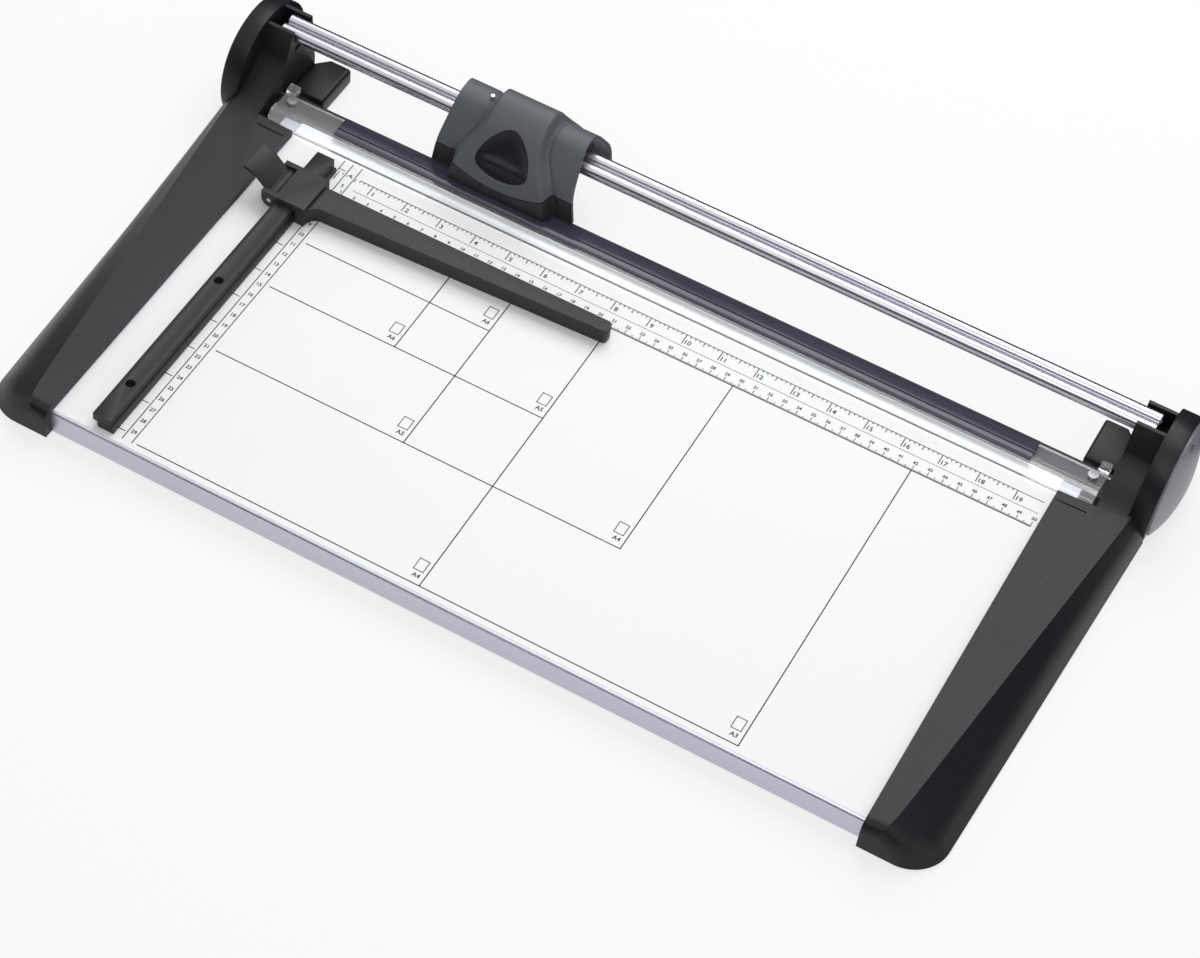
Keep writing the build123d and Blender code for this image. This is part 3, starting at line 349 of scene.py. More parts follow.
world = bpy.data.worlds.new("studio")
bpy.context.scene.world = world
tree = bare_tree(world)
dome = put(tree, "ShaderNodeBackground", None, {"Color": linear("#ffffff"), "Strength": 0.5})
backdrop = put(tree, "ShaderNodeBackground", None, {"Color": linear("#ffffff"), "Strength": 1.0})
mixed = put(tree, "ShaderNodeMixShader", None,
            {0: seen_directly(tree), 1: dome.outputs[0], 2: backdrop.outputs[0]})
put(tree, "ShaderNodeOutputWorld", None, {"Surface": mixed.outputs[0]})

area_lamp("rear softbox", (-0.15, 1.25, 1.75), 1.6, 26.0)
area_lamp("front fill", (0.25, -1.15, 2.15), 1.2, 9.0)
bpy.context.scene.view_settings.view_transform = "Standard"
print("floor, world and", len(bpy.data.lights), "lamps")

# %% [markdown]
# Polished metal shows only what stands around it. Product studios put black cards beside and
# behind such a piece, so that its edges turn dark against a white table. The cards here are seen
# by gloss alone: they throw no shadow and take no light away, and the camera looks past them. One
# lies on the floor behind. Each of the others stands between two points, from its foot to its head.

# %% Black cards for the gloss
card_walls = [((-1.9, 1.3), (0.9, 1.3), 0.0, 0.9), ((0.9, 1.3), (1.9, 0.1), 0.0, 1.5),
              ((-1.9, -0.2), (-1.9, 1.3), 0.0, 0.6), ((-2.2, -1.7), (2.2, -1.7), 0.15, 1.9)]
above_floor = 0.0005
card_corners = [(x, y, above_floor) for x, y in ((-1.9, 0.2), (0.9, 0.2), (0.9, 1.3), (-1.9, 1.3))]
for (x0, y0), (x1, y1), foot, head in card_walls:
    card_corners += [(x0, y0, foot), (x1, y1, foot), (x1, y1, head), (x0, y0, head)]
cards = linked("black_cards", quads("black_cards", card_corners))
cards.visible_camera = cards.visible_diffuse = cards.visible_transmission = cards.visible_shadow = False
black_card = bpy.data.materials.new("matt black card")
tree = bare_tree(black_card)
matt = put(tree, "ShaderNodeBsdfDiffuse", None, {"Color": linear("#2b2b31")})
put(tree, "ShaderNodeOutputMaterial", None, {"Surface": matt.outputs[0]})
cards.data.materials.append(black_card)
print("black cards", len(cards.data.polygons))

# %% [markdown]
# The camera stands where the photographer stood. Its place and turn come from the printed paper
# outlines, taken as standard sheet sizes: seen from here they fall where the picture has them.

# %% Camera
camera_turn = (21.617, 51.759, 8.605)
camera_place = (0.4727, -1.1596, 1.5416)
azimuth, elevation, roll = (math.radians(a) for a in camera_turn)
back = Vector((math.sin(azimuth) * math.cos(elevation), -math.cos(azimuth) * math.cos(elevation),
               math.sin(elevation)))
level_right = Vector((math.cos(azimuth), math.sin(azimuth), 0))
level_up = back.cross(level_right)
right = level_right * math.cos(roll) + level_up * math.sin(roll)
up = level_up * math.cos(roll) - level_right * math.sin(roll)
lens = bpy.data.cameras.new("camera")
lens.sensor_fit = "HORIZONTAL"
lens.sensor_width = 36.0
lens.lens = 96.52
lens.clip_start = 0.05
camera = linked("camera", lens)
camera.matrix_world = Matrix.Translation(camera_place) @ Matrix((right, up, back)).transposed().to_4x4()
bpy.context.scene.camera = camera
print("camera", [round(v, 3) for v in camera.location])

# %% [markdown]
# Real moulded and folded pieces have no knife-sharp edges: a radius of half a millimetre or more
# catches a thin line of light. A piece that is right in the frame but sharp is copied, its loose
# triangles are merged, and a Bevel modifier rounds the edges that turn by more than 25 degrees.


# %% Round the edges of a piece
def baked(holder):
    """Replaces the object's mesh by what its modifiers make of it."""
    shaped = holder.evaluated_get(bpy.context.evaluated_depsgraph_get())
    mesh = bpy.data.meshes.new_from_object(shaped)
    holder.modifiers.clear()
    holder.data = mesh
    return holder


def meshed(name, shape):
    """The bmesh as a mesh of that name; the bmesh is freed."""
    mesh = bpy.data.meshes.new(name)
    shape.to_mesh(mesh)
    shape.free()
    return mesh


def new_piece(name, mesh, finish):
    mesh.materials.clear()
    mesh.materials.append(finish)
    return linked(name, mesh)


def walled(holder, thickness):
    """Gives an open skin a wall on its inner side."""
    wall = holder.modifiers.new("wall", "SOLIDIFY")
    wall.thickness = thickness * MM
    wall.offset = -1.0
    return baked(holder)


def softened(holder, width, steps=3, turn=25.0):
    for face in holder.data.polygons:
        face.use_smooth = True
    edge = holder.modifiers.new("rounded edges", "BEVEL")
    edge.width = width * MM
    edge.segments = steps
    edge.limit_method = "ANGLE"
    edge.angle_limit = math.radians(turn)
    edge.harden_normals = True
    return baked(holder)


def settle(holder, body, node):
    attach(holder, body)
    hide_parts(node)
    return holder


nodes_of_body = frame["record"]["behaviour"]["bodies"]
body_of_node = {node: body for body, nodes in nodes_of_body.items() for node in nodes}
merge_reach = 0.002


def merged_copy(node, flat=0.0):
    mesh = frame["nodes"][node].data.copy()
    shape = bmesh.new()
    shape.from_mesh(mesh)
    bmesh.ops.remove_doubles(shape, verts=shape.verts, dist=merge_reach * MM)
    if flat:
        bmesh.ops.dissolve_limit(shape, angle_limit=math.radians(flat), verts=shape.verts,
                                 edges=shape.edges)
    shape.to_mesh(mesh)
    shape.free()
    return mesh


def rounded_copy(node, width):
    mesh = merged_copy(node, flat=1.0)
    holder = new_piece(node + "_rounded", mesh, finish_of_node[node])
    softened(holder, width)
    return settle(holder, body_of_node[node], node)


edge_width = {
    "side_fence": 0.5, "gauge_arm": 0.8, "gauge_lever": 0.5, "left_rear_foot": 1.0, "right_rear_foot": 1.0,
    "left_end_cover": 1.2, "right_end_cover": 1.2,
}
for node, width in edge_width.items():
    piece = rounded_copy(node, width)
    print(piece.name, len(piece.data.polygons), "faces")

# %% [markdown]
# Each end cap is a long wedge. A ridge runs across it from the front inner corner to the rear
# outer one, with a flat band on the deck's side and a steep slope outside. The outer front
# corner is round seen from above, and the front top edge is a bull-nose. The wedge is a loft:
# one outline for each distance from the front, close together where the corner turns.

# %% End cap wedges
cap_front = cap_low.y
cap_lift = 2.0
band_top = deck_top + 4.5
ridge_top = band_top + 2.0
shoulder_top = 15.5
cap_end = cut_y - 30.0
cap_length = cap_end - cap_front
corner_round = 24.0
nose_round = 8.0
shoulder_steps = 8
ridge_reach, shoulder_reach, skirt_reach = (14.0, 47.0), (36.0, 55.0), (47.0, 58.0)


def drawn_in(distance, radius):
    near = min(distance, radius)
    return radius - math.sqrt(radius ** 2 - (radius - near) ** 2)


def cap_outline(distance, inner):
    """Across X and Z: from the inner bottom edge over the ridge to the outer bottom edge."""
    along = distance / cap_length
    corner = drawn_in(distance, corner_round)
    nose = drawn_in(distance, nose_round)
    ridge, shoulder, skirt = (front + (rear - front) * along - corner * share for (front, rear), share
                              in ((ridge_reach, 1 / 6), (shoulder_reach, 0.8), (skirt_reach, 1.0)))
    inner_top = band_top + (ridge_top - band_top) * inner / ridge
    crest, corner_point, foot = (Vector(p) for p in (
        (ridge, ridge_top - nose), (shoulder, shoulder_top - nose / 2), (skirt, cap_lift)))
    enter, leave = corner_point.lerp(crest, 0.4), corner_point.lerp(foot, 0.5)
    bend = [enter * (1 - t) ** 2 + corner_point * 2 * t * (1 - t) + leave * t * t
            for t in (i / shoulder_steps for i in range(shoulder_steps + 1))]
    return [(inner, cap_lift), (inner, inner_top - nose), crest] + bend + [foot]


def loft(rings):
    """Closed skin through rings of equally many points, with flat ends."""
    count = len(rings[0])
    points = [point for ring in rings for point in ring]
    faces = []
    for row in range(len(rings) - 1):
        for i in range(count):
            a, b = row * count + i, row * count + (i + 1) % count
            faces.append((a, b, b + count, a + count))
    faces.append(tuple(range(count)))
    faces.append(tuple(range(len(points) - count, len(points))))
    return points, faces


def skin(shape, points, faces):
    verts = [shape.verts.new(Vector(p) * MM) for p in points]
    for face in faces:
        shape.faces.new([verts[i] for i in face])


def cap_rings(side, distances, inner):
    return [[(side * (half_deck + o), cap_front + d, z) for o, z in cap_outline(d, inner)]
            for d in distances]


corner_steps = 16
front_distances = [corner_round * (1 - math.cos(math.pi / 2 * i / corner_steps))
                   for i in range(corner_steps + 1)]
wedge_distances = front_distances + [cap_length * share for share in (0.25, 0.5, 0.75, 1.0)]
tail_distances = [cap_length, cap_length + 9.0]
print("wedge outlines", len(wedge_distances))

# %% [markdown]
# At the rear the cap grows into a tower that carries the rails. Its front sweeps up in an arc
# that leaves the wedge almost level, turns straight, and ends in a trough open to the top, where
# the rail ends lie. Wedge, tail and tower are joined by a Boolean union, so that the edges
# between them are rounded with the rest. A shallow score line crosses the band near its rear end.

# %% Towers, and the caps as whole pieces
rail_low, rail_high = span("front_rail")
rear_rail_high = span("rear_rail")[1]
tower_inset, tower_reach = 25.5, 45.0
tower_inner, tower_outer = half_deck + tower_inset, half_deck + tower_reach
tower_top = deck_top + 43.5
trough_gap, trough_depth = 0.3, 10.0
trough_front, trough_rear = rail_low.y - trough_gap, rear_rail_high.y + trough_gap
trough_floor = (rail_low.z + rail_high.z) / 2 - trough_depth
tower_wall = 2.5
tower_back = cut_y + 40.0
score_reach, score_place, score_depth = (2.0, 22.0), (-8.0, -7.0), 0.25


def tangent_arc(start, heading, end, steps):
    """Points of the arc that leaves start along heading and reaches end."""
    start, heading, end = Vector(start), Vector(heading).normalized(), Vector(end)
    side = Vector((-heading.y, heading.x))
    chord = end - start
    radius = chord.length_squared / (2 * side.dot(chord))
    turn = 2 * math.atan2(side.dot(chord), heading.dot(chord))
    angles = [turn * i / steps for i in range(steps + 1)]
    return [start + heading * radius * math.sin(a) + side * radius * (1 - math.cos(a)) for a in angles]


def tower_rings(side):
    foot = (cap_end - 10.0, band_top + 0.7)
    knee = (cut_y + 4.0, deck_top + 26.0)
    sweep = tangent_arc(foot, (1, 0.05), knee, 18)
    rest = [(trough_front - tower_wall, tower_top), (trough_front, tower_top), (trough_front, trough_floor),
            (trough_rear, trough_floor), (trough_rear, tower_top - tower_wall),
            (trough_rear + tower_wall, tower_top - tower_wall), (tower_back, deck_top),
            (tower_back, cap_lift), (cap_end, cap_lift)]
    outline = [(p[0], p[1]) for p in sweep] + rest
    return [[(side * x, y, z) for y, z in outline] for x in (tower_inner, tower_outer)]


def solid(name, rings):
    shape = bmesh.new()
    skin(shape, *loft(rings))
    bmesh.ops.recalc_face_normals(shape, faces=shape.faces)
    return new_piece(name, meshed(name, shape), charcoal_abs)


def joined(holder, other, how):
    cut = holder.modifiers.new("join", "BOOLEAN")
    cut.operation = how
    cut.solver = "EXACT"
    cut.object = other
    baked(holder)
    bpy.data.objects.remove(other)
    return holder


def block(name, x0, y0, z0, x1, y1, z1):
    return solid(name, [[(x0, y0, z), (x1, y0, z), (x1, y1, z), (x0, y1, z)] for z in (z0, z1)])


for side, word in ((1, "right"), (-1, "left")):
    cap = solid(word + "_cap_moulded", cap_rings(side, wedge_distances, 0.0))
    joined(cap, solid("tail", cap_rings(side, tail_distances, tower_inset)), "UNION")
    joined(cap, solid("tower", tower_rings(side)), "UNION")
    x0, x1 = sorted(side * (half_deck + reach) for reach in score_reach)
    y0, y1 = (cap_end + place for place in score_place)
    joined(cap, block("score", x0, y0, band_top - score_depth, x1, y1, band_top + 5.0), "DIFFERENCE")
    softened(cap, 1.4, steps=4, turn=22.0)
    settle(cap, "base", word + "_end_cap")
    print(cap.name, len(cap.data.polygons), "faces")

# %% [markdown]
# The carriage is two mouldings over a block with bearings: a sleeve along the rails, and a raised
# saddle in its middle for the hand. Seen from the side both are the same rounded profile, one a little
# larger. So the shell is a grid: points along the profile, repeated along X, and each point moves
# from the sleeve's profile to the saddle's with a short S-shaped step. A shallow groove follows it.

# %% Carriage profile
sleeve_bottom = deck_top + 7.0
carriage_top = span("carriage_cover")[1].z
back_bottom = deck_top + 17.0
rail_front_y = (rail_low.y + rail_high.y) / 2
carriage_heart = Vector((rail_front_y + 5.0, deck_top + 36.0))
sleeve_half, saddle_half = (52.0, 45.0), (36.5, 20.0)
corner_reach = 9.0


def side_view(proud):
    """Corners of the carriage seen along X, from the front's bottom edge to the back's."""
    front, top, rear = 9.0 * proud, 6.0 * proud, 3.0 * proud
    return [
        (cut_y - 3.5 - front, sleeve_bottom),
        (cut_y - 3.5 - front * 0.9, deck_top + 28.0),
        (cut_y + 12.0 - front * 0.6, deck_top + 49.0 + top * 0.6),
        (rail_front_y, deck_top + 55.0 + top),
        (rear_rail_high.y, deck_top + 55.0 + top),
        (cut_y + 51.0 + rear, deck_top + 30.0),
        (cut_y + 51.0 + rear, back_bottom),
    ]


def eased(corners, per_corner=10, per_run=8):
    """The open outline with its corners rounded, as evenly matched points for any proud."""
    points = [Vector(c) for c in corners]
    path = []
    leave = points[0]
    for before, corner, after in zip(points, points[1:], points[2:]):
        reach_in = min(corner_reach, 0.48 * (corner - before).length)
        reach_out = min(corner_reach, 0.48 * (after - corner).length)
        enter = corner + (before - corner).normalized() * reach_in
        path += [leave.lerp(enter, i / per_run) for i in range(per_run)]
        leave = corner + (after - corner).normalized() * reach_out
        for i in range(per_corner):
            t = i / per_corner
            path.append(enter * (1 - t) ** 2 + corner * 2 * t * (1 - t) + leave * t * t)
    return path + [leave.lerp(points[-1], i / per_run) for i in range(per_run + 1)]


sleeve_path, saddle_path = eased(side_view(0)), eased(side_view(1))
print("carriage profile", len(sleeve_path), "points")

# %% [markdown]
# The saddle's sides lean in towards the top, so where the step lies depends on the height. The
# grey cover and the dark skirt meet at a seam that sags under the saddle. One row of each grid
# follows that seam, which keeps the line clean without cutting faces.


# %% Carriage shells
def at(path, share):
    """Point of a path at a share from 0 to 1 of its list."""
    place = share * (len(path) - 1)
    low = min(int(place), len(path) - 2)
    return path[low].lerp(path[low + 1], place - low)


def lean(z, bottom, top):
    return bottom + (top - bottom) * (z - sleeve_bottom) / (carriage_top - sleeve_bottom)


def halved(low, high, is_short):
    """Closes in on the share where is_short turns false; returns both ends of what is left."""
    for _ in range(24):
        middle = (low + high) / 2
        low, high = (middle, high) if is_short(middle) else (low, middle)
    return low, high


def s_step(value):
    t = min(max(value, 0.0), 1.0)
    return t * t * (3 - 2 * t)


step_width = 4.0
edge_sway, edge_wave = 2.2, 8.5
groove_depth, groove_width, groove_fade = 1.0, 1.3, 6.0
shell_wall = 2.2


def shell_point(along, share):
    """Where the shell is at a place from -1 to 1 along it and a share of its profile."""
    low, high = at(sleeve_path, share), at(saddle_path, share)
    x = along * lean(low.y, *sleeve_half)
    edge = lean(high.y, *saddle_half) + edge_sway * math.sin((high.y - sleeve_bottom) / edge_wave)
    raised = s_step((edge + step_width / 2 - abs(x)) / step_width)
    point = low.lerp(high, raised)
    groove = groove_depth * math.exp(-((abs(x) - edge - step_width * 0.75) / groove_width) ** 2)
    groove *= s_step((low.y - sleeve_bottom) / groove_fade)
    point = point + (carriage_heart - point).normalized() * groove
    return Vector((carriage_x + x, point.x, point.y))


seam_height, seam_sag = 24.0, 9.0


def seam_share(along):
    """Share of the profile where cover and skirt meet."""
    def under_seam(share):
        point = shell_point(along, share)
        off = (point.x - carriage_x) / saddle_half[0]
        return point.z < deck_top + seam_height - seam_sag * max(0.0, 1 - off * off)

    return sum(halved(0.0, 0.4, under_seam)) / 2


def shell(name, finish, first, last, rows, columns=150):
    shape = bmesh.new()
    grid = []
    for column in range(columns + 1):
        along = -1 + 2 * column / columns
        start, end = first(along), last(along)
        shares = [start + (end - start) * row / rows for row in range(rows + 1)]
        grid.append([shape.verts.new(shell_point(along, share) * MM) for share in shares])
    for left, right_side in zip(grid, grid[1:]):
        for row in range(rows):
            shape.faces.new((left[row], left[row + 1], right_side[row + 1], right_side[row]))
    shape.normal_update()
    middle = grid[columns // 2][rows // 2].link_faces[0]
    outward = middle.calc_center_median() / MM - Vector((carriage_x, *carriage_heart))
    if middle.normal.dot(outward) < 0:
        bmesh.ops.reverse_faces(shape, faces=shape.faces)
    return walled(new_piece(name, meshed(name, shape), finish), shell_wall)


seam_gap = 0.004
carriage_shell = shell("carriage_cover_shell", grey_abs, seam_share, lambda along: 1.0, 74)
skirt_shell = shell("carriage_skirt_shell", black_abs, lambda along: 0.0,
                    lambda along: seam_share(along) - seam_gap, 14)
print("cover", len(carriage_shell.data.polygons), "skirt", len(skirt_shell.data.polygons), "faces")

# %% [markdown]
# The thumb presses the carriage down in a dark dish, a rounded triangle with its point up. The
# opening is cut through the cover with a Boolean, and the dish is a ring grid that follows the
# cover's front and sinks towards a fold low in the middle, where the thumb's tip rests.

# %% Thumb opening and dish
dish_low, dish_bottom, dish_top, dish_half = deck_top + 29.0, deck_top + 22.5, deck_top + 54.0, 20.0
outline_steps = 24


def bow(first, middle, last):
    """Points of a parabola through three points, without the last one."""
    first, middle, last = Vector(first), Vector(middle), Vector(last)
    pull = middle * 2 - (first + last) / 2
    shares = [i / outline_steps for i in range(outline_steps)]
    return [first * (1 - t) ** 2 + pull * 2 * t * (1 - t) + last * t * t for t in shares]


side_bulge = (dish_half / 2 + 4.0, (dish_low + dish_top) / 2 + 3.0)
dish_line = bow((-dish_half, dish_low), (0, dish_bottom), (dish_half, dish_low))
dish_line += bow((dish_half, dish_low), side_bulge, (0, dish_top))
dish_line += bow((0, dish_top), (-side_bulge[0], side_bulge[1]), (-dish_half, dish_low))
for _ in range(14):
    count = len(dish_line)
    dish_line = [(dish_line[i - 1] + dish_line[i] * 2 + dish_line[(i + 1) % count]) / 4
                 for i in range(count)]


def front_of_saddle(z):
    """Y of the saddle's front at a height."""
    return at(saddle_path, halved(0.0, 0.55, lambda share: at(saddle_path, share).y < z)[0]).x


prism = solid("opening", [[(carriage_x + p.x, y, p.y) for p in dish_line] for y in (cut_y - 20, cut_y + 16)])
joined(carriage_shell, prism, "DIFFERENCE")


def dish_depth(share, z):
    """Depth of the dish under the saddle's front, from its rim (share 1) to its middle."""
    fold = deck_top + 31.0
    above = 3.8 - 2.2 * math.exp(-((z - fold) / 2.4) ** 2)
    below = 1.6 + 1.2 * s_step((fold - z) / 6.0)
    return 0.9 + (above if z > fold else below) * (1 - share ** 3)


def dish_point(spot, share):
    y = front_of_saddle(spot.y) + dish_depth(share, spot.y)
    return Vector((carriage_x + spot.x, y, spot.y)) * MM


dish_heart = Vector((0, deck_top + 34.0))
dish_rings = 14
dish_fit = 0.995
dish_wall = 1.2
shape = bmesh.new()
rings = []
for ring in range(1, dish_rings + 1):
    share = ring / dish_rings
    spots = [dish_heart + (p - dish_heart) * share * dish_fit for p in dish_line]
    rings.append([shape.verts.new(dish_point(spot, share)) for spot in spots])
heart = shape.verts.new(dish_point(dish_heart, 0))
count = len(dish_line)
for i in range(count):
    shape.faces.new((heart, rings[0][i], rings[0][(i + 1) % count]))
    for inner, outer in zip(rings, rings[1:]):
        shape.faces.new((inner[i], outer[i], outer[(i + 1) % count], inner[(i + 1) % count]))
shape.normal_update()
if heart.link_faces[0].normal.y > 0:
    bmesh.ops.reverse_faces(shape, faces=shape.faces)
thumb_dish = walled(new_piece("thumb_dish", meshed("thumb_dish", shape), dish_abs), dish_wall)
for holder, turn in ((carriage_shell, 35.0), (skirt_shell, 35.0), (thumb_dish, 60.0)):
    softened(holder, 0.35, steps=2, turn=turn)
settle(carriage_shell, "carriage", "carriage_cover")
settle(skirt_shell, "carriage", "carriage_skirt")
settle(thumb_dish, "carriage", "thumb_insert")
print("dish", len(thumb_dish.data.polygons), "faces")

# %% [markdown]
# The scales are rows of ticks that repeat by a rule: every tick the same ink stroke, longer at
# the half and the whole unit. A Geometry Nodes tree makes one row, and its inputs are the count,
# the step and the three lengths, so the inch scale, the centimetre scale and the column by the
# fence all come from it. Each stroke is a thin closed box, as thick as a layer of ink.

# %% Tick rows in Geometry Nodes
ink_height = 0.05
INCH = 25.4
inches, millimetres = 19, 500


def start_row(name, counts, lengths):
    """A tree with named inputs and a row of points along X; returns it with its sockets."""
    tree = bpy.data.node_groups.new(name, "GeometryNodeTree")
    keys = {}
    for kind, words in (("NodeSocketInt", counts), ("NodeSocketFloat", lengths)):
        for word in words:
            keys[word] = tree.interface.new_socket(word, in_out="INPUT", socket_type=kind).identifier
    tree.interface.new_socket("Geometry", in_out="OUTPUT", socket_type="NodeSocketGeometry")
    given = put(tree, "NodeGroupInput").outputs
    step = put(tree, "ShaderNodeCombineXYZ", None, {"X": given["Step"]})
    row = put(tree, "GeometryNodeMeshLine", None, {"Count": given["Count"], "Offset": step.outputs[0]})
    return tree, keys, given, row.outputs["Mesh"]


def end_row(tree, points, instance, finish, scale=(1.0, 1.0, 1.0)):
    copies = put(tree, "GeometryNodeInstanceOnPoints", None,
                 {"Points": points, "Instance": instance, "Scale": scale})
    real = put(tree, "GeometryNodeRealizeInstances", None, {"Geometry": copies.outputs[0]})
    painted = put(tree, "GeometryNodeSetMaterial", None, {"Geometry": real.outputs[0], "Material": finish})
    put(tree, "NodeGroupOutput", None, {"Geometry": painted.outputs[0]})


def tick_tree():
    tree, keys, given, points = start_row("tick row", ("Count", "Half every", "Whole every"),
                                          ("Step", "Short", "Half", "Whole", "Stroke"))
    size = put(tree, "ShaderNodeCombineXYZ", None, {"X": given["Stroke"], "Y": 1.0, "Z": ink_height * MM})
    box = put(tree, "GeometryNodeMeshCube", None, {"Size": size.outputs[0]})
    stroke = put(tree, "GeometryNodeTransform", None,
                 {"Geometry": box.outputs["Mesh"], "Translation": (0.0, 0.5, ink_height * MM / 2)})
    index = put(tree, "GeometryNodeInputIndex").outputs[0]
    length = given["Short"]
    for every, longer in (("Half every", "Half"), ("Whole every", "Whole")):
        left_over = put(tree, "ShaderNodeMath", {"operation": "MODULO"}, {0: index, 1: given[every]})
        hit = put(tree, "ShaderNodeMath", {"operation": "LESS_THAN"}, {0: left_over.outputs[0], 1: 0.5})
        length = put(tree, "GeometryNodeSwitch", {"input_type": "FLOAT"},
                     {"Switch": hit.outputs[0], "False": length, "True": given[longer]}).outputs[0]
    scale = put(tree, "ShaderNodeCombineXYZ", None, {"X": 1.0, "Y": length, "Z": 1.0})
    end_row(tree, points, stroke.outputs[0], screen_ink, scale.outputs[0])
    return tree, keys


def made_by(tree, keys, values):
    """Plain mesh that the tree makes with these input values."""
    holder = linked("maker", bpy.data.meshes.new("maker"))
    maker = holder.modifiers.new("maker", "NODES")
    maker.node_group = tree
    for name, value in values.items():
        maker[keys[name]] = value
    mesh = bpy.data.meshes.new_from_object(holder.evaluated_get(bpy.context.evaluated_depsgraph_get()))
    bpy.data.objects.remove(holder)
    return mesh


tick_row, tick_keys = tick_tree()
inch_line, grey_line, cm_line = cut_y - 40.0, cut_y - 50.0, cut_y - 61.5
column_lines = [printed_zero + x for x in (-1.7, 4.7, 11.5)]
film_z = deck_top + 0.01


def tick_marks(count, step, lengths, every, stroke, start, turn=0.0):
    """A row of ticks from a start, with lengths and spacings for the short, half and whole ones."""
    sizes = {"Step": step * MM, "Stroke": stroke * MM, "Half every": every[0], "Whole every": every[1]}
    sizes.update((word, length * MM) for word, length in zip(("Short", "Half", "Whole"), lengths))
    mesh = made_by(tick_row, tick_keys, {"Count": count, **sizes})
    mesh.transform(Matrix.Translation(Vector((*start, film_z)) * MM) @ Matrix.Rotation(turn, 4, "Z"))
    return mesh


inch_ticks = tick_marks(inches * 8 + 1, INCH / 8, (1.6, 3.2, 8.0), (4, 8), 0.65,
                        (printed_zero + inches * INCH, inch_line), math.pi)
cm_ticks = tick_marks(millimetres + 1, 1.0, (1.3, 2.4, 4.2), (5, 10), 0.5, (printed_zero, cm_line))
column_ticks = tick_marks(11, INCH, (5.0, 5.0, 5.0), (2, 4), 0.6,
                          (column_lines[0], cut_y - 38.0), -math.pi / 2)
print("ticks", [len(m.polygons) // 6 for m in (inch_ticks, cm_ticks, column_ticks)])

# %% [markdown]
# Beside the ticks the deck carries the ruling lines, the outlines of the common paper sheets with
# a small sheet mark at each corner, and plain numbers. Lines are thin boxes of ink. Numbers are
# text turned to a mesh before it is moved, with a little thickness so that they are closed.

# %% Lines, sheet outlines and numbers
print_shape = bmesh.new()
for ticks in (inch_ticks, cm_ticks, column_ticks):
    print_shape.from_mesh(ticks)


def ruled(start, end, stroke=0.75):
    """A line of ink along X or Y."""
    grow = stroke / 2
    (x0, x1), (y0, y1) = (sorted(pair) for pair in zip(start, end))
    x0, x1, y0, y1 = x0 - grow, x1 + grow, y0 - grow, y1 + grow
    skin(print_shape, *loft([[(x0, y0, z), (x1, y0, z), (x1, y1, z), (x0, y1, z)]
                             for z in (film_z, film_z + ink_height)]))


def written(text, size, x, y):
    curve = bpy.data.curves.new("number", "FONT")
    curve.body = text
    curve.size = size * MM
    curve.extrude = ink_height / 2 * MM
    curve.offset = 0.1 * MM
    curve.align_x = curve.align_y = "CENTER"
    curve.resolution_u = 3
    holder = linked("number", curve)
    mesh = bpy.data.meshes.new_from_object(holder.evaluated_get(bpy.context.evaluated_depsgraph_get()))
    bpy.data.objects.remove(holder)
    mesh.transform(Matrix.Translation(Vector((x, y, film_z + ink_height / 2)) * MM))
    print_shape.from_mesh(mesh)


sheet_sides = [105.0, 148.0, 210.0, 297.0, 420.0]
sheet_names = ["A6", "A5", "A4", "A3"]
sheet_start = printed_zero + 15.0


def sheet_mark(name, x, y):
    """A small upright rectangle with the sheet's size beside it, inside an outline's corner."""
    left, low, wide, tall = x - 9.5, y + 9.5, 6.5, 8.5
    corners = [(left, low), (left + wide, low), (left + wide, low + tall), (left, low + tall)]
    for start, end in zip(corners, corners[1:] + corners[:1]):
        ruled(start, end, 0.55)
    written(name, 4.4, x - 5.5, y + 5.6)


for step, name in enumerate(sheet_names):
    short, long = sheet_sides[step], sheet_sides[step + 1]
    ruled((sheet_start, cut_y - short), (printed_zero + long, cut_y - short))
    sheet_mark(name, printed_zero + long, cut_y - short)
    if step < 3:
        ruled((printed_zero + short, cm_line), (printed_zero + short, cut_y - long))
        sheet_mark(name, printed_zero + short, cut_y - long)
ruled((printed_zero + sheet_sides[3], cm_line), (printed_zero + sheet_sides[3], cut_y - sheet_sides[2]))
ruled((printed_zero + sheet_sides[4], cm_line), (printed_zero + sheet_sides[4], cut_y - sheet_sides[3]))

for y, stroke in ((inch_line, 0.55), (grey_line, 0.35), (cm_line, 0.75)):
    ruled((printed_zero + 16.0, y), (printed_zero + millimetres, y), stroke)
for x in column_lines:
    ruled((x, cut_y - 30.5), (x, film_low.y + 4.0), 0.65)
for inch in range(1, inches + 1):
    written(str(inch), 5.0, printed_zero + inch * INCH + 3.0, inch_line - 6.0)
for centimetre in range(1, millimetres // 10 + 1):
    written(str(centimetre), 3.4, printed_zero + centimetre * 10.0, cm_line + 6.4)
for centimetre in range(4, 30):
    written(str(centimetre), 3.8, (column_lines[1] + column_lines[2]) / 2, cut_y - centimetre * 10.0)
bmesh.ops.recalc_face_normals(print_shape, faces=print_shape.faces)
deck_print = new_piece("deck_print", meshed("deck_print", print_shape), screen_ink)
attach(deck_print, "base")
print("print", len(deck_print.data.polygons), "faces")

# %% [markdown]
# Three sunk screws hold the fence, and one holds each end cover. All have the same head with a
# cross recess for a screwdriver, so one Geometry Nodes tree makes a row of them: a flat cone from
# which a Mesh Boolean takes two crossed bars.


# %% Screw heads in Geometry Nodes
head_radius, head_height = 3.0, 1.8


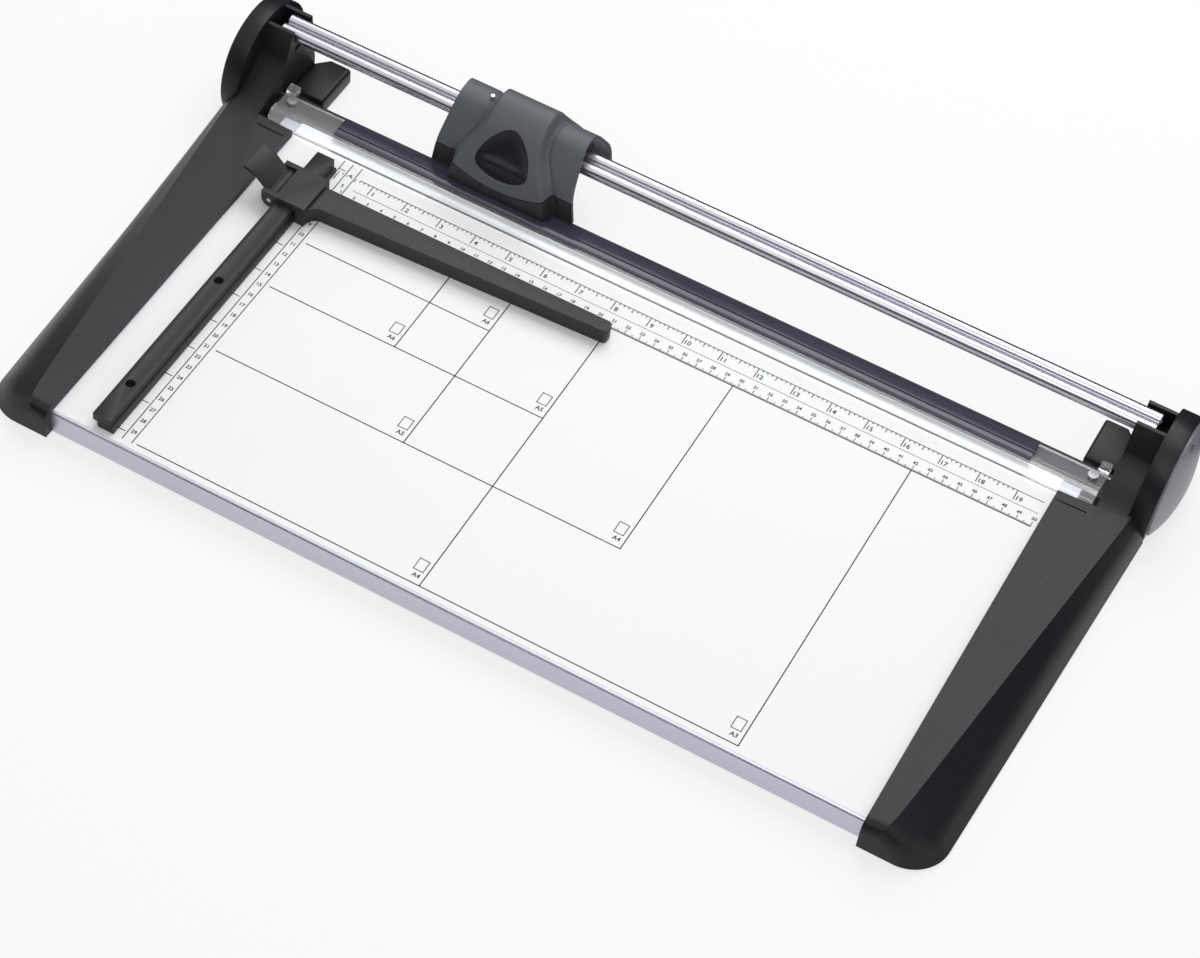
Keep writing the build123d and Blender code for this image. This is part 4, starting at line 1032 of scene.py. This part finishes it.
def screw_tree(finish):
    tree, keys, given, points = start_row("screw row", ("Count",), ("Step", "Radius", "Height"))
    rim, long_side, narrow = (
        put(tree, "ShaderNodeMath", {"operation": "MULTIPLY"}, {0: given["Radius"], 1: share}).outputs[0]
        for share in (0.8, 1.15, 0.3))
    head = put(tree, "GeometryNodeMeshCone", None,
               {"Vertices": 32, "Radius Top": rim, "Radius Bottom": given["Radius"],
                "Depth": given["Height"]})
    lift = put(tree, "ShaderNodeCombineXYZ", None, {"Z": given["Height"]})
    recess = put(tree, "GeometryNodeMeshBoolean", {"operation": "DIFFERENCE"},
                 {"Mesh 1": head.outputs["Mesh"]})
    for x, y in ((long_side, narrow), (narrow, long_side)):
        size = put(tree, "ShaderNodeCombineXYZ", None, {"X": x, "Y": y, "Z": given["Height"]})
        bar = put(tree, "GeometryNodeMeshCube", None, {"Size": size.outputs[0]})
        placed = put(tree, "GeometryNodeTransform", None,
                     {"Geometry": bar.outputs["Mesh"], "Translation": lift.outputs[0]})
        tree.links.new(placed.outputs[0], recess.inputs["Mesh 2"])
    end_row(tree, points, recess.outputs["Mesh"], finish)
    return tree, keys


def screw_heads(name, count, step, finish, placements, node):
    tree, keys = screw_tree(finish)
    shape = bmesh.new()
    for placement in placements:
        row = made_by(tree, keys, {"Count": count, "Step": step * MM,
                                   "Radius": head_radius * MM, "Height": head_height * MM})
        row.transform(placement)
        shape.from_mesh(row)
    return settle(new_piece(name, meshed(name, shape), finish), "base", node)


low, high = span("fence_screws")
fence_step = (high.y - low.y - 2 * head_radius) / 2
fence_start = Vector(((low.x + high.x) / 2, low.y + head_radius, high.z - head_height))
fence_row = Matrix.Translation(fence_start * MM)
fence_heads = screw_heads("fence_screw_heads", 3, fence_step, blackened_steel,
                          [fence_row @ Matrix.Rotation(math.pi / 2, 4, "Z")], "fence_screws")
low, high = span("cover_screws")
middle = (low + high) / 2
cover_spots = [Matrix.Translation(Vector((x - side * head_height, middle.y, middle.z)) * MM)
               @ Matrix.Rotation(side * math.pi / 2, 4, "Y") for x, side in ((high.x, 1), (low.x, -1))]
cover_heads = screw_heads("cover_screw_heads", 1, 0.0, zinc_steel, cover_spots, "cover_screws")
print("screw heads", [len(h.data.polygons) for h in (fence_heads, cover_heads)], "faces")

# %% [markdown]
# The rails are drawn steel tubes, chromed. Gloss shows every facet, so each tube is turned from 96
# smooth sides, with a small chamfer at its open ends.


# %% Rails
def tube(node, bore=3.0, chamfer=0.5, sides=96):
    low, high = span(node)
    y, z, radius = (low.y + high.y) / 2, (low.z + high.z) / 2, (high.z - low.z) / 2
    profile = [(low.x, bore), (low.x, radius - chamfer), (low.x + chamfer, radius),
               (high.x - chamfer, radius), (high.x, radius - chamfer), (high.x, bore)]
    shape = bmesh.new()
    turns = [2 * math.pi * i / sides for i in range(sides)]
    rings = [[shape.verts.new(Vector((x, y + r * math.cos(a), z + r * math.sin(a))) * MM) for a in turns]
             for x, r in profile]
    for ring, following in zip(rings, rings[1:] + rings[:1]):
        for i in range(sides):
            shape.faces.new((ring[i], ring[i - 1], following[i - 1], following[i]))
    bmesh.ops.recalc_face_normals(shape, faces=shape.faces)
    mesh = meshed(node + "_tube", shape)
    mesh.polygons.foreach_set("use_smooth", [True] * len(mesh.polygons))
    mesh.set_sharp_from_angle(angle=math.radians(30))
    return settle(new_piece(node + "_tube", mesh, chrome_tube), "base", node)


for node in ("front_rail", "rear_rail"):
    print(tube(node).name)

# %% [markdown]
# The paper clamp is one extruded bar of clear plastic with a thin ledge behind its crest, and the
# smoky strip lies on that ledge with a flange over the crest. Both are the same section all along,
# so each is a loft along X. The bar's left end is drawn in to a round tip, and the end tabs and
# the holes for its two pins are added with Booleans.

# %% Clamp bar and smoky strip
bar_low, bar_high = span("clamp_bar")
strip_low, strip_high = span("guard_strip")
pin_low, pin_high = span("clamp_pins")
tip_round, tip_steps = 8.0, 8
tip_axis, tip_reach = -20.0, 10.0
tab_width, tab_front = 7.0, 1.4
pin_head, pin_hole, hole_sides = 3.5, 2.3, 24
bar_section = [(-30.0, 0.0), (-30.0, 0.8), (-29.6, 1.5), (-28.8, 1.9), (-26.0, 2.2), (-23.6, 2.9),
               (-22.4, 3.4), (-21.2, 3.5), (-15.2, 3.5), (-14.3, 3.3), (-14.0, 2.9), (-14.0, 1.3),
               (-1.3, 1.3), (-1.3, 0.0)]
strip_section = [(-13.9, 0.0), (-13.9, 2.25), (-18.4, 2.25), (-18.6, 2.6), (-18.2, 2.95), (-13.4, 3.05),
                 (-13.1, 2.3), (-12.5, 2.3), (-12.2, 3.1), (-7.0, 3.1), (-6.7, 2.3), (-6.1, 2.3),
                 (-5.8, 3.0), (-1.8, 2.8), (-1.3, 2.3), (-1.3, 0.0)]


def bar_ring(distance):
    pull = 1 - drawn_in(distance, tip_round) / tip_reach
    reach = [(tip_axis + (y - tip_axis) * pull if y < tip_axis else y, z) for y, z in bar_section]
    return [(bar_low.x + distance, cut_y + y, bar_low.z + z) for y, z in reach]


tip_distances = [tip_round * (1 - math.cos(math.pi / 2 * i / tip_steps)) for i in range(tip_steps + 1)]
bar = solid("clamp_bar_clear", [bar_ring(d) for d in tip_distances + [bar_high.x - bar_low.x]])
for x in (bar_low.x, bar_high.x - tab_width):
    tab = block("tab", x, cut_y - tab_front, bar_low.z, x + tab_width, bar_high.y, bar_high.z)
    joined(bar, tab, "UNION")
pin_y = (pin_low.y + pin_high.y) / 2
turns = [2 * math.pi * i / hole_sides for i in range(hole_sides)]
for x in (pin_low.x + pin_head, pin_high.x - pin_head):
    circle = [(x + pin_hole * math.cos(a), pin_y + pin_hole * math.sin(a)) for a in turns]
    hole = solid("hole", [[(p, q, z) for p, q in circle] for z in (bar_low.z - 1, bar_low.z + 4)])
    joined(bar, hole, "DIFFERENCE")
strip = solid("guard_strip_smoky", [[(x, cut_y + y, strip_low.z + z) for y, z in strip_section]
                                    for x in (strip_low.x, strip_high.x)])
for holder, finish, slot, node in ((bar, clear_acrylic, "clear_plastic", "clamp_bar"),
                                   (strip, smoky_acrylic, "smoky_plastic", "guard_strip")):
    holder.data.materials.clear()
    holder.data.materials.append(finish)
    softened(holder, 0.2, steps=2, turn=40.0)
    settle(holder, body_of_node[node], node)
    print(holder.name, len(holder.data.polygons), "faces")
bar.visible_shadow = False

# %% [markdown]
# Two coil springs hold the bar up. They stand on the bed and carry the bar. A copy of them, with its
# loose triangles merged, takes their place.

# %% A copy of the springs
springs = new_piece("clamp_springs_wound", merged_copy("clamp_springs"), zinc_steel)
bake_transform(springs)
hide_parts("clamp_springs")
print(springs.name, len(springs.data.polygons), "faces")
